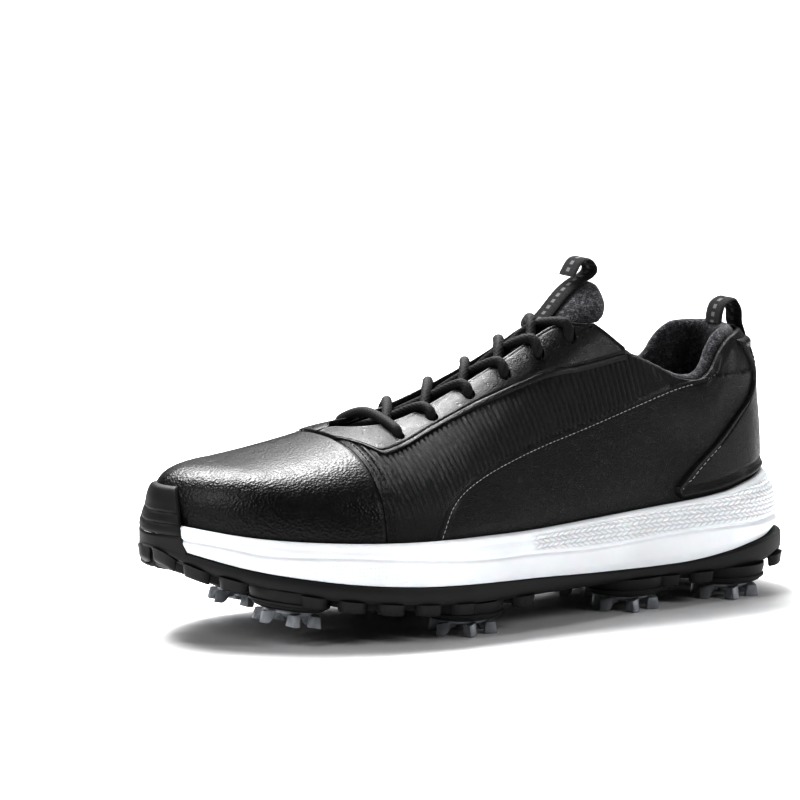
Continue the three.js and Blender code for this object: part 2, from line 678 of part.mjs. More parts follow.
add('tongue', acrossPanel(range(-63, HINGE_X - 3.5, 9), () => TONGUE_HALF, 6, () => TONGUE_DEPTH,
  TONGUE_THICKNESS), 'felt');
const topDepth = curve([[44, 2.2], [52, 0.6], [61, 1.5]]);
add('tongue_top', acrossPanel(range(HINGE_X, TONGUE_TIP_X, 4), tongueTopHalf, 6, topDepth,
  TONGUE_TOP_THICKNESS), 'felt');

// Band of webbing along a line in the XZ plane, as wide as given along Y.
function band(line, thickness, width) {
  const sides = [[], []];
  line.forEach((p, i) => {
    const a = line[Math.max(i - 1, 0)];
    const b = line[Math.min(i + 1, line.length - 1)];
    const along = new THREE.Vector2().subVectors(b, a).normalize();
    const across = new THREE.Vector2(-along.y, along.x).multiplyScalar(thickness / 2);
    sides[0].push(p.clone().add(across));
    sides[1].push(p.clone().sub(across));
  });
  const geometry = new THREE.ExtrudeGeometry(
    new THREE.Shape([...sides[0], ...sides[1].reverse()]),
    { depth: width, steps: 1, bevelEnabled: false },
  );
  geometry.rotateX(Math.PI / 2);
  geometry.translate(0, width / 2, 0);
  return outward(bareMerged(geometry));
}

const WEBBING_THICKNESS = 1.4;
const WEBBING_WIDTH = 13;
const TONGUE_LOOP_TOP = 149.2;
const PULL_LOOP = { foot: 104, top: 127.2, x: 130.5 };

function tongueWebbing() {
  const surface = (x) => crossPoint(x, 0, topDepth(x)).z + GAP + WEBBING_THICKNESS / 2 + 0.2;
  const line = range(46, 57.5, 4).map((x) => new THREE.Vector2(x, surface(x)));
  const last = line[line.length - 1];
  line.push(
    new THREE.Vector2(60.4, last.y + 2.2),
    new THREE.Vector2(60.2, last.y + 5),
    new THREE.Vector2(57.4, TONGUE_LOOP_TOP),
    new THREE.Vector2(53.4, TONGUE_LOOP_TOP - 0.3),
    new THREE.Vector2(50.6, last.y + 4),
    new THREE.Vector2(49, last.y + 1),
  );
  return band(line, WEBBING_THICKNESS, WEBBING_WIDTH);
}
add('tongue_webbing', tongueWebbing(), 'webbing');

function heelLoop() {
  const outside = -(OVERLAY_LIFT + GAP + OVERLAY_THICKNESS + WEBBING_THICKNESS / 2 + 0.2);
  const back = (z) => {
    const rise = riseWhere(2, 1, (p) => p.z > z);
    return new THREE.Vector2(upperPoint(2, rise, 1, outside).x, z);
  };
  const line = [
    ...range(PULL_LOOP.foot, 117, 4).map(back),
    new THREE.Vector2(back(117).x + 0.6, 122),
    new THREE.Vector2(back(117).x - 1.6, 125.8),
    new THREE.Vector2(PULL_LOOP.x, PULL_LOOP.top),
    new THREE.Vector2(PULL_LOOP.x - 4.8, 125.4),
    new THREE.Vector2(PULL_LOOP.x - 6.6, 121.4),
  ];
  return band(line, WEBBING_THICKNESS, WEBBING_WIDTH);
}
add('heel_pull_loop', heelLoop(), 'webbing');

// ---------------------------------------------------------------- lace
const OVER = -2.4;               // depth of the lace's centre where it lies on the leather
const UNDER = 2 * LACE_BEND + OVER;
const TAIL_SPREAD = 5;           // how far outside the holes the tucked ends lie

// Turn through a hole, from above the leather to below it, or back.
function turnThrough(x, side, downwards) {
  const points = range(0, 1, 4).map((t) => {
    const angle = Math.PI / 2 - Math.PI * t;
    const offset = holeOffset(x, side) - LACE_BEND + LACE_BEND * Math.cos(angle);
    const depth = OVER + LACE_BEND - LACE_BEND * Math.sin(angle);
    return crossPoint(x, side * offset, depth);
  });
  return downwards ? points : points.reverse();
}

// From under one eyestay at hole number n, across the throat and down through the next hole opposite.
function crossing(n, side, centreDepth) {
  const from = HOLE_X[n];
  const to = HOLE_X[n + 1];
  return [
    crossPoint(from + 1.5, side * (throatHalf(from) - 0.8), UNDER),
    crossPoint((from + to) / 2, 0, centreDepth),
    crossPoint(to - 1.5, -side * (throatHalf(to) + 0.5), OVER - 0.3),
  ];
}

function strand(firstSide, depths) {
  const points = [];
  let side = firstSide;
  const lastHole = HOLE_X.length - 1;
  for (let n = 0; n < lastHole; n += 1) {
    points.push(...crossing(n, side, depths[n % 2]));
    side = -side;
    if (n + 1 < lastHole) points.push(...turnThrough(HOLE_X[n + 1], side, true));
  }
  const x = HOLE_X[lastHole];
  const hole = holeOffset(x, side);
  points.push(
    crossPoint(x, side * (hole - 2.2), OVER + 0.6),
    crossPoint(x, side * hole, 0.8),
    crossPoint(x - 1, side * (hole + 1.6), 3.6),
    crossPoint(x - 5, side * (hole + TAIL_SPREAD), 4.5),
    crossPoint(x - 16, side * (hole + TAIL_SPREAD), 4.5),
    crossPoint(x - 26, side * (hole + TAIL_SPREAD + 0.3), 4.5),
  );
  return points;
}

const CROSS_OVER = -3.7;
const CROSS_UNDER = 0.7;
const fromLateral = strand(-1, [CROSS_OVER, CROSS_UNDER]);
const fromMedial = strand(1, [CROSS_UNDER, CROSS_OVER]);
const firstBar = [
  ...turnThrough(HOLE_X[0], -1, false),
  crossPoint(HOLE_X[0], -6, OVER - 0.2),
  crossPoint(HOLE_X[0], 6, OVER - 0.2),
  ...turnThrough(HOLE_X[0], 1, true),
];
const LACE_ROUTE = [...fromLateral.slice().reverse(), ...firstBar, ...fromMedial];

// A curve that visits each point of a list at an even parameter.
class Route extends THREE.Curve {
  constructor(points) {
    super();
    this.points = points;
  }

  getPoint(t, target = new THREE.Vector3()) {
    const place = t * (this.points.length - 1);
    const i = Math.min(Math.floor(place + 1e-6), this.points.length - 2);
    return target.lerpVectors(this.points[i], this.points[i + 1], place - i);
  }

  getPointAt(t, target) {
    return this.getPoint(t, target);
  }

  getTangentAt(t, target = new THREE.Vector3()) {
    const i = Math.round(t * (this.points.length - 1));
    const before = this.points[Math.max(i - 1, 0)];
    const here = this.points[i];
    const after = this.points[Math.min(i + 1, this.points.length - 1)];
    const arriving = here.clone().sub(before).normalize();
    const leaving = after.clone().sub(here).normalize();
    return target.addVectors(arriving, leaving).normalize();
  }
}

function tube(points, radius, sides) {
  const section = range(0, 1, sides).slice(0, -1).map((t) => new THREE.Vector2(
    radius * Math.cos(2 * Math.PI * t),
    radius * Math.sin(2 * Math.PI * t),
  ));
  const geometry = new THREE.ExtrudeGeometry(new THREE.Shape(section), {
    steps: points.length - 1, extrudePath: new Route(points), bevelEnabled: false,
  });
  return outward(bareMerged(geometry));
}

add('lace', tube(LACE_ROUTE, LACE_RADIUS, 8), 'cord');
for (const [name, eyestay] of Object.entries(eyestays)) {
  const clearance = tube(LACE_ROUTE, LACE_RADIUS + GAP, 8);
  add(`eyestay_${name}`, combine(eyestay, [], [clearance]), 'leather');
}

const TIP_LENGTH = 18;
const TIP_RADIUS = 1.6;
const LACE_ENDS = { lateral: fromMedial, medial: fromLateral };
for (const [name, points] of Object.entries(LACE_ENDS)) {
  const end = points[points.length - 1];
  const before = points[points.length - 2];
  const along = end.clone().sub(before).normalize();
  const start = end.clone().addScaledVector(along, GAP);
  const finish = start.clone().addScaledVector(along, TIP_LENGTH);
  add(`lace_tip_${name}`, tube([start, start.clone().lerp(finish, 0.5), finish], TIP_RADIUS, 8), 'plastic');
}

export default shoe;
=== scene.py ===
# Left golf shoe: the visual model round the CAD part. Shapes are worked out in millimetres in the
# CAD source's own axes (toe -X, lateral side -Y, ground Z = 0) and become metres as each mesh is made.
import math

import bpy
import bmesh
import numpy as np
from mathutils import Matrix, Vector


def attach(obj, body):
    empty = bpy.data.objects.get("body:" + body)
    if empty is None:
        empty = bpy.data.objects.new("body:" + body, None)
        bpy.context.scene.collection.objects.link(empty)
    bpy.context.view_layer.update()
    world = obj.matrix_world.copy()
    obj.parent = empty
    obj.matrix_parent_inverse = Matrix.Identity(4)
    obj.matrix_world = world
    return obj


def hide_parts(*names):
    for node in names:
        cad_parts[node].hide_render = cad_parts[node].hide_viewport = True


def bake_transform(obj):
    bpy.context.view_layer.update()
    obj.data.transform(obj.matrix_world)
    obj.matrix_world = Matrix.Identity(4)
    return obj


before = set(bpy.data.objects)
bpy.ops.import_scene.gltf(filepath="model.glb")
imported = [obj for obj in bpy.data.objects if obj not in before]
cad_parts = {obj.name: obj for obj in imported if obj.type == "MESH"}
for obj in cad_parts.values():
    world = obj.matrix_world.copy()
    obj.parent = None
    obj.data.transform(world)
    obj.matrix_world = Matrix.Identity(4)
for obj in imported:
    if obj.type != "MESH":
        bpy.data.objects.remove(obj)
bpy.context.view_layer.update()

MM = 0.001                # metres in a millimetre
TOE_CAP_X = -112.0        # in front of this the upper is a rounded toe
HEEL_CUP_X = 85.0         # behind this the upper is a rounded heel
UPPER_INSET = 5.0         # from the sole's edge in to the leather
RIM_INSET = 1.6           # from the sole's edge in to the foam's rim
GAP = 0.3                 # air between neighbouring parts
LEATHER = 1.6             # thickness of the upper's panels
SEAM_X = -70.5            # the vamp ends here and the quarters begin
WIDTH_SHIFT = 1.15        # sideways move that centres the sole
BOARD_THICKNESS = 1.6
INSOLE_THICKNESS = 4.5
CLEAT_RADIUS = 13.0       # across the blade tips, from the stud's axis
CLEAT_HEIGHT = 6.6
POD_RADIUS = 17.5
INSERT_RADIUS = 8.5
LACE_RADIUS = 1.9
LACE_BEND = 3.4           # radius of the lace's turn through a hole
MEDIAL_HOLE_SCALE = 0.93  # the medial lace holes lie this much nearer the ridge
HOLE_X = [-48, -30, -11.5, 6, 22.5, 38]
# Name, place of the stud, and how far its face leans towards the toe, in degrees.
CLEATS = [
    ("toe_lateral", -102.6, -27, 15.2, 9.5),
    ("toe_medial", -91.5, 36, 13.4, 8.5),
    ("ball_lateral", -26.7, -40.5, CLEAT_HEIGHT, 0),
    ("ball_medial", -29.1, 26, CLEAT_HEIGHT, 0),
    ("arch_lateral", 62.1, -26, CLEAT_HEIGHT, 0),
    ("arch_medial", 66.6, 16, CLEAT_HEIGHT, 0),
    ("heel_lateral", 115, -22, CLEAT_HEIGHT, 0),
    ("heel_medial", 124, 18.5, CLEAT_HEIGHT, 0),
]
OUTLINE = [(-150, 10), (-147.5, -1), (-141, -12.5), (-126, -30), (-108, -43), (-84, -54), (-60, -59.5),
           (-36, -60), (-12, -55.5), (15, -49), (45, -43.5), (75, -40), (105, -39), (127, -35), (142, -24.5),
           (148.5, -13), (150, 0), (148.5, 13), (142, 24.5), (127, 35), (105, 38.5), (75, 37.5), (45, 34),
           (15, 32), (-12, 37.5), (-36, 48), (-60, 55.5), (-84, 58), (-108, 55.5), (-126, 46.5), (-141, 32.5),
           (-147.5, 21)]
HEEL_TIP = 16             # the outline's point at the back of the heel
LATERAL, MEDIAL = -1, 1
SIDES = {"lateral": LATERAL, "medial": MEDIAL}


# ---------------------------------------------------------------- profile curves, as in the CAD source
def curve(points):
    """Smooth curve through (x, value) points, flat past its ends."""
    xs = np.array([p[0] for p in points], float)
    ys = np.array([p[1] for p in points], float)
    before = np.r_[0, np.arange(len(xs) - 1)]
    after = np.r_[np.arange(1, len(xs)), len(xs) - 1]
    slopes = (ys[after] - ys[before]) / (xs[after] - xs[before])

    def value(x):
        x = np.clip(np.asarray(x, float), xs[0], xs[-1])
        i = np.clip(np.searchsorted(xs, x, side="right") - 1, 0, len(xs) - 2)
        h = xs[i + 1] - xs[i]
        t = (x - xs[i]) / h
        return (ys[i] * (2 * t**3 - 3 * t**2 + 1) + h * slopes[i] * (t**3 - 2 * t**2 + t)
                + ys[i + 1] * (3 * t**2 - 2 * t**3) + h * slopes[i + 1] * (t**3 - t**2))
    return value


def smooth(a, b, x):
    """Goes from 0 at a to 1 at b, easing at both ends."""
    t = np.clip((np.asarray(x, float) - a) / (b - a), 0, 1)
    return t * t * (3 - 2 * t)


def lerp(a, b, t):
    return a + (b - a) * t


plate_bottom = curve([(-150, 37), (-140, 30), (-125, 24.5), (-105, 19.5), (-80, 15.5), (-50, 12.8),
                      (-20, 11.6), (40, 11.2), (120, 11), (150, 14)])
plate_top = curve([(-150, 42), (-137, 37.5), (-126, 34), (-111, 30.7), (-86, 26.8), (-58, 24.2),
                   (-29, 22.8), (0, 21.5), (41, 19.4), (83, 19), (108, 21.6), (123, 24), (150, 27)])
midsole_top = curve([(-150, 51.5), (-126, 47.2), (-103, 45), (-67, 43.3), (-28, 42.7), (13, 42.1),
                     (80, 45.2), (108, 47.8), (122, 50.5), (150, 54)])
footbed = curve([(-150, 44), (-130, 39.5), (-100, 35.5), (-60, 33), (-20, 32), (40, 32.5), (100, 36),
                 (150, 38)])
lean = curve([(80, 0), (105, 0.8), (125, 2.8), (150, 6)])
ridge = curve([(-118, 73.4), (-109, 74.2), (-95, 76.5), (-78, 80.5), (-64, 84.5), (-44, 88.5), (-27, 94.5),
               (6, 111.5), (42, 133), (60, 142), (85, 150)])
ridge_y = curve([(-118, 10), (-100, 9.5), (-78, 7), (-44, 2), (0, -2), (60, -1), (85, 0)])
squareness = curve([(-118, 3.3), (-95, 2.8), (-72, 2.4), (-44, 2.08), (42, 2.1), (85, 2.5)])
topline = curve([(40, 130.5), (46.5, 125.8), (52, 121.4), (62, 112.4), (69, 108.8), (76, 105.2), (84, 100.6),
                 (92, 98.4), (98, 98.4), (104, 102.4), (109, 109), (115, 113.6), (124, 116), (136, 116.8)])
throat_half = curve([(-70, 0.5), (-65, 0.7), (-60, 9), (-50, 13.5), (-30, 13), (-10, 12), (28, 12.5), (38, 15),
                     (46, 19), (58, 22)])
eyestay_half = curve([(-72, 11), (-67, 24.5), (-61, 35.5), (-58, 36.2), (-50, 33.8), (-34, 28.7), (-16, 26),
                      (1, 25.2), (20, 25.2), (39, 26.7), (62, 27.5)])
hole_half = curve([(-48, 26.5), (-39, 24.3), (-30, 21.8), (-11.5, 19.3), (22.5, 19), (38, 19.8)])


def hole_offset(x, side):
    """Distance of a lace hole from the ridge."""
    return float(hole_half(x)) * (1 if side == LATERAL else MEDIAL_HOLE_SCALE)


# Distance along the closed outline, and periodic curves through its points.
corners = np.array(OUTLINE, float)
steps = np.hypot(*(np.roll(corners, -1, axis=0) - corners).T)
travel = np.r_[0, np.cumsum(steps)]
AROUND = travel[-1]
HEEL_TRAVEL = travel[HEEL_TIP]


def loop_curve(axis):
    n = len(OUTLINE)
    return curve([(travel[i % n] + (i // n) * AROUND, corners[i % n][axis]) for i in range(-3, n + 4)])


outline_x = loop_curve(0)
outline_y = loop_curve(1)
lateral_run = np.linspace(0, HEEL_TRAVEL, 4000)
medial_run = np.linspace(AROUND, HEEL_TRAVEL, 4000)
lateral_x = np.maximum.accumulate(outline_x(lateral_run))
medial_x = np.maximum.accumulate(outline_x(medial_run))


def travel_at(x, side):
    """Distance along the outline at which one side reaches x."""
    if side == LATERAL:
        return np.interp(x, lateral_x, lateral_run)
    return np.interp(x, medial_x, medial_run)


def station_of(x):
    return (np.asarray(x, float) - TOE_CAP_X) / (HEEL_CUP_X - TOE_CAP_X)


def x_of(station):
    return TOE_CAP_X + np.asarray(station, float) * (HEEL_CUP_X - TOE_CAP_X)


def edge_point(station, side, inset):
    """Point inside the sole's edge. Stations: -1 to 0 round the toe, 0 to 1 along X, 1 to 2 round the heel."""
    s = np.asarray(station, float)
    tip = 0.0 if side == LATERAL else AROUND
    toe_end = travel_at(TOE_CAP_X, side)
    heel_start = travel_at(HEEL_CUP_X, side)
    along = travel_at(x_of(np.clip(s, 0, 1)), side)
    along = np.where(s < 0, tip + (toe_end - tip) * (s + 1), along)
    along = np.where(s > 1, heel_start + (HEEL_TRAVEL - heel_start) * (s - 1), along)
    dx = outline_x(along + 0.5) - outline_x(along - 0.5)
    dy = outline_y(along + 0.5) - outline_y(along - 0.5)
    size = np.hypot(dx, dy)
    return outline_x(along) - dy / size * inset, outline_y(along) + dx / size * inset


def upper_point(station, rise, side, depth):
    """Point of the upper: rise below 0 is the skirt inside the midsole, 0 to 1 from the rim to the ridge."""
    s, v, d = np.broadcast_arrays(np.asarray(station, float), np.asarray(rise, float),
                                  np.asarray(depth, float))
    ex, _ = edge_point(s, side, 0)
    bx, by = edge_point(s, side, UPPER_INSET + lean(ex) + d)
    spine = x_of(np.clip(s, 0, 1)) + np.where(s < 0, s * 6, 0) + np.where(s > 1, (s - 1) * 3, 0)
    base = midsole_top(ex) - 2.5
    power = 2 / squareness(spine)
    angle = np.clip(v, 0, 1) * np.pi / 2
    across = np.cos(angle).clip(0) ** power
    up = np.sin(angle) ** power
    top = ridge(spine) - d
    x = spine + (bx - spine) * across
    y = ridge_y(spine) + (by - ridge_y(spine)) * across
    z = np.where(v < 0, base + (footbed(ex) + GAP - base) * -v, base + (top - base) * up)
    return np.stack([x, y, z], axis=-1)


def rise_where(station, side, test):
    """The rise at which each section first passes a test on its point."""
    s = np.asarray(station, float)
    low, high = np.zeros_like(s), np.ones_like(s)
    for _ in range(22):
        mid = (low + high) / 2
        passed = test(upper_point(s, mid, side, 0))
        high = np.where(passed, mid, high)
        low = np.where(passed, low, mid)
    return high


def rise_at_offset(station, side, offset):
    return rise_where(station, side, lambda p: np.abs(p[..., 1] - ridge_y(p[..., 0])) < offset)


def rise_at_topline(station, side):
    return rise_where(station, side, lambda p: p[..., 2] > topline(p[..., 0]))


def rise_at_height(station, side, z):
    return rise_where(station, side, lambda p: p[..., 2] > z)


def border_offset(station, side, spare):
    """Lower border of an eyestay, measured from the ridge."""
    x = x_of(station)
    half_own = np.abs(edge_point(station, side, UPPER_INSET)[1] - ridge_y(x))
    half_lateral = np.abs(edge_point(station, LATERAL, UPPER_INSET)[1] - ridge_y(x))
    return (eyestay_half(x) + spare) * np.minimum(half_own / half_lateral, 1) ** 0.35


def eyestay_end(side):
    """Station where the eyestay's lower border meets the topline."""
    low, high = 0.5, 1.0
    for _ in range(24):
        mid = (low + high) / 2
        if rise_at_offset(mid, side, border_offset(mid, side, 0)) < rise_at_topline(mid, side):
            low = mid
        else:
            high = mid
    return low


# The rise that lies a given share of the way up a section's girth.
girth_rises = np.linspace(0, 1, 600)
girth_section = np.stack([42 * np.cos(girth_rises * np.pi / 2).clip(0) ** 0.86,
                          45 * np.sin(girth_rises * np.pi / 2) ** 0.86], axis=-1)
girth_share = np.r_[0, np.cumsum(np.hypot(*np.diff(girth_section, axis=0).T))]
girth_share /= girth_share[-1]


def rise_of_share(share):
    return np.interp(share, girth_share, girth_rises)


def share_of_rise(rise):
    return np.interp(rise, girth_rises, girth_share)


# ---------------------------------------------------------------- mesh helpers
def make_piece(name, points, faces, material, body="shoe", uv=None, replaces=(), angle=40,
               merge=0.0):
    """Mesh piece from points in millimetres; uv, where given, is one pair in millimetres per point."""
    verts = (np.asarray(points, float) + [0, WIDTH_SHIFT, 0]) * MM
    mesh = bpy.data.meshes.new(name)
    mesh.from_pydata(verts.tolist(), [], [list(map(int, f)) for f in faces])
    if uv is not None:
        layer = mesh.uv_layers.new(name="UVMap")
        index = np.zeros(len(mesh.loops), np.int32)
        mesh.loops.foreach_get("vertex_index", index)
        layer.data.foreach_set("uv", (np.asarray(uv, float) * MM)[index].astype(np.float32).ravel())
    obj = bpy.data.objects.new(name, mesh)
    bpy.context.scene.collection.objects.link(obj)
    work = bmesh.new()
    work.from_mesh(mesh)
    if merge:
        bmesh.ops.remove_doubles(work, verts=work.verts, dist=merge * MM)
        bmesh.ops.dissolve_degenerate(work, dist=1e-7, edges=work.edges)
    bmesh.ops.recalc_face_normals(work, faces=work.faces)
    work.to_mesh(mesh)
    work.free()
    finish_piece(obj, material, body, replaces, angle)
    return obj


def finish_piece(obj, material, body, replaces, angle):
    """Gives a piece its material and shading, and says what it rides on and stands in for."""
    obj.data.materials.clear()
    obj.data.materials.append(material)
    select_only(obj)
    if angle:
        bpy.ops.object.shade_smooth_by_angle(angle=math.radians(angle))
    if replaces:
        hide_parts(*replaces)
    if body:
        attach(obj, body)


def select_only(obj):
    for other in bpy.context.selected_objects:
        other.select_set(False)
    obj.select_set(True)
    bpy.context.view_layer.objects.active = obj


def grid_faces(rows, columns, start=0, loop_columns=False):
    i = np.arange(rows - 1)
    j = np.arange(columns if loop_columns else columns - 1)
    i, j = np.meshgrid(i, j, indexing="ij")
    after = (j + 1) % columns
    here, beyond = i * columns, (i + 1) * columns
    quads = np.stack([here + j, beyond + j, beyond + after, here + after], -1)
    return quads.reshape(-1, 4) + start


def capped_faces(rings, sides):
    """Faces of a closed body made from a row of rings."""
    faces = grid_faces(rings, sides, loop_columns=True).tolist()
    return faces + [list(range(sides))[::-1], [(rings - 1) * sides + k for k in range(sides)]]


def shell(outer, inner):
    """Points and faces of a closed body between a grid of outer points and the matching inner grid."""
    rows, columns = outer.shape[:2]
    count = rows * columns
    points = np.concatenate([outer.reshape(-1, 3), inner.reshape(-1, 3)])
    faces = [grid_faces(rows, columns), grid_faces(rows, columns, count)[:, ::-1]]
    rim = np.concatenate([
        np.arange(columns), np.arange(1, rows) * columns + columns - 1,
        (rows - 1) * columns + np.arange(columns - 2, -1, -1), np.arange(rows - 2, 0, -1) * columns])
    after = np.roll(rim, -1)
    faces.append(np.stack([rim, after, after + count, rim + count], -1))
    return points, np.concatenate(faces)


def frames_along(path):
    """Tangent, and two crosswise directions that don't twist, at each point of a path."""
    path = np.asarray(path, float)
    tangent = np.gradient(path, axis=0)
    tangent /= np.linalg.norm(tangent, axis=1)[:, None]
    side = np.zeros_like(path)
    start = np.cross(tangent[0], [0, 0, 1.0])
    if np.linalg.norm(start) < 1e-3:
        start = np.cross(tangent[0], [0, 1.0, 0])
    side[0] = start / np.linalg.norm(start)
    for i in range(1, len(path)):
        moved = side[i - 1] - tangent[i] * (side[i - 1] @ tangent[i])
        side[i] = moved / np.linalg.norm(moved)
    return tangent, side, np.cross(tangent, side)


def run_along(path):
    """Distance from a path's start to each of its points."""
    return np.r_[0, np.cumsum(np.linalg.norm(np.diff(path, axis=0), axis=1))]


def resample(path, spacing):
    """Points along a path at an even spacing."""
    path = np.asarray(path, float)
    run = run_along(path)
    count = max(int(round(run[-1] / spacing)), 2)
    at = np.linspace(0, run[-1], count + 1)
    return np.stack([np.interp(at, run, path[:, k]) for k in range(3)], -1)


def rounded(path, passes):
    """Corner-cut version of a path, with its ends kept."""
    path = np.asarray(path, float)
    for _ in range(passes):
        a, b = path[:-1], path[1:]
        cut = np.stack([a * 0.75 + b * 0.25, a * 0.25 + b * 0.75], 1).reshape(-1, 3)
        path = np.concatenate([path[:1], cut, path[-1:]])
    return path


def tube(path, radius, sides):
    """Points, faces and uv of a capped tube; radius is a number or a (points, sides) array."""
    _, across, up = frames_along(path)
    turn = np.linspace(0, 2 * np.pi, sides, endpoint=False)
    r = np.broadcast_to(np.asarray(radius, float), (len(path), sides))
    ring = across[:, None] * np.cos(turn)[None, :, None] + up[:, None] * np.sin(turn)[None, :, None]
    points = (path[:, None] + ring * r[..., None]).reshape(-1, 3)
    uv = np.stack([np.repeat(run_along(path), sides), np.tile(turn * np.mean(r), len(path))], -1)
    return points, capped_faces(len(path), sides), uv


def join_parts(parts):
    """One list of points and faces from several."""
    points, faces, start = [], [], 0
    for part_points, part_faces in parts:
        points.append(np.asarray(part_points, float))
        faces += [[int(v) + start for v in f] for f in part_faces]
        start += len(part_points)
    return np.concatenate(points), faces


STITCH_HEIGHT = 0.3


def stitch(centre, along, up, length, width):
    """One thread stitch: a low, pointed bean lying on the surface."""
    side = np.cross(up, along)
    rings = [(-0.5, 0.35, -0.5), (-0.32, 0.9, 0.05), (0, 1.0, 0.25), (0.32, 0.9, 0.05), (0.5, 0.35, -0.5)]
    points = []
    for t, size, lift in rings:
        for k in range(6):
            turn = math.tau * k / 6
            points.append(centre + along * t * length + side * math.cos(turn) * width * size
                          + up * (math.sin(turn) * size + lift) * STITCH_HEIGHT)
    return np.array(points), capped_faces(len(rings), 6)


def stitches_along(path, normals, pitch, length, width):
    """Stitches set at an even pitch along a path on a surface with the given normals."""
    run = run_along(path)

    def at_run(place, values):
        return np.array([np.interp(place, run, values[:, k]) for k in range(3)])
    parts = []
    for at in np.arange(pitch / 2, run[-1] - pitch / 3, pitch):
        centre, up = at_run(at, path), at_run(at, normals)
        along = at_run(at + 0.5, path) - at_run(at - 0.5, path)
        along /= np.linalg.norm(along)
        up -= along * (up @ along)
        up /= np.linalg.norm(up)
        parts.append(stitch(centre, along, up, length, width))
    return parts


def surface_line(stations, rises, side, depth):
    """Points and outward normals on the upper along a line of stations and rises."""
    here = upper_point(stations, rises, side, depth)
    ahead = upper_point(stations + 0.002, rises, side, depth)
    above = upper_point(stations, np.clip(rises + 0.004, 0, 1), side, depth)
    below = upper_point(stations, np.clip(rises - 0.004, 0, 1), side, depth)
    normal = np.cross(ahead - here, above - below) * (1 if side == LATERAL else -1)
    normal /= np.linalg.norm(normal, axis=1)[:, None]
    return here, normal


def at_place(xs, zs, side):
    """Stations and rises where the upper's surface has the given x and height."""
    grid = np.linspace(-1, 2, 260)[None, :] + 0 * np.asarray(xs, float)[:, None]
    heights = np.asarray(zs, float)[:, None] + 0 * grid
    px = upper_point(grid, rise_at_height(grid, side, heights), side, 0)[..., 0]
    stations = []
    for x, row, places in zip(xs, px, grid):
        order = np.argsort(row)
        stations.append(np.interp(x, row[order], places[order]))
    stations = np.array(stations)
    return stations, rise_at_height(stations, side, np.asarray(zs, float))


# ---------------------------------------------------------------- materials
def linear(code):
    """Linear colour of an sRGB hex value."""
    values = [int(code[i:i + 2], 16) / 255 for i in (1, 3, 5)]
    return [v / 12.92 if v <= 0.04045 else ((v + 0.055) / 1.055) ** 2.4 for v in values] + [1.0]


class Finish:
    """A material being built round its Principled shader."""

    def __init__(self, name, **shader):
        self.material = bpy.data.materials.new(name)
        self.material.use_nodes = True
        self.tree = self.material.node_tree
        self.shader = self.tree.nodes["Principled BSDF"]
        coords = self.add("TexCoord")
        self.place, self.uv = coords.outputs["Object"], coords.outputs["UV"]
        self.wear(**shader)

    def feed(self, socket, value):
        """Links a socket to a node or an output, or sets it to a plain value."""
        if isinstance(value, bpy.types.Node):
            value = next(output for output in value.outputs if output.enabled)
        if isinstance(value, bpy.types.NodeSocket):
            self.tree.links.new(value, socket)
        else:
            socket.default_value = value

    def add(self, kind, *feeds, stops=(), **settings):
        """Adds a node: feeds go to its inputs in order, capitals name an input, others are settings."""
        node = self.tree.nodes.new("ShaderNode" + kind)
        for key, value in settings.items():
            if key[0].islower():
                setattr(node, key, value)
        for socket, value in zip(node.inputs, feeds):
            self.feed(socket, value)
        for key, value in settings.items():
            if key[0].isupper():
                self.feed(node.inputs[key.replace("_", " ")], value)
        for index, (place, colour) in enumerate(stops):
            if index == len(node.color_ramp.elements):
                node.color_ramp.elements.new(0.5)
            element = node.color_ramp.elements[index]
            element.position = place
            element.color = linear(colour) if isinstance(colour, str) else [colour] * 3 + [1.0]
        return node

    def wear(self, **inputs):
        """Sets or links inputs of the shader, and gives the material."""
        for key, value in inputs.items():
            self.feed(self.shader.inputs[key.replace("_", " ")], value)
        return self.material


def pebbled_leather():
    """Corrected-grain leather, embossed with fine pebbles and waxed: black with a broad soft gloss."""
    f = Finish("leather_pebbled_waxed", Roughness=0.36, IOR=1.5, Specular_IOR_Level=0.4, Coat_Weight=0.08,
               Coat_Roughness=0.25)
    pebbles = f.add("TexVoronoi", feature="SMOOTH_F1", Vector=f.place, Scale=1 / (1.15 * MM), Smoothness=0.35)
    creases = f.add("TexNoise", Vector=f.place, Scale=1 / (5.5 * MM), Detail=5.0, Roughness=0.62)
    pores = f.add("TexNoise", Vector=f.place, Scale=1 / (0.6 * MM), Detail=2.0)
    cloudy = f.add("TexNoise", Vector=f.place, Scale=1 / (22 * MM), Detail=4.0)
    pebbled = f.add("Bump", Height=pebbles, Strength=0.8, Distance=0.26 * MM)
    creased = f.add("Bump", Height=creases, Strength=0.22, Distance=0.35 * MM, Normal=pebbled)
    return f.wear(
        Base_Color=f.add("ValToRGB", cloudy, stops=[(0.3, "#0b0b0c"), (0.7, "#161618")]),
        Roughness=f.add("MapRange", creases, From_Min=0.3, From_Max=0.7, To_Min=0.3, To_Max=0.46),
        Normal=f.add("Bump", Height=pores, Strength=0.5, Distance=0.12 * MM, Normal=creased))


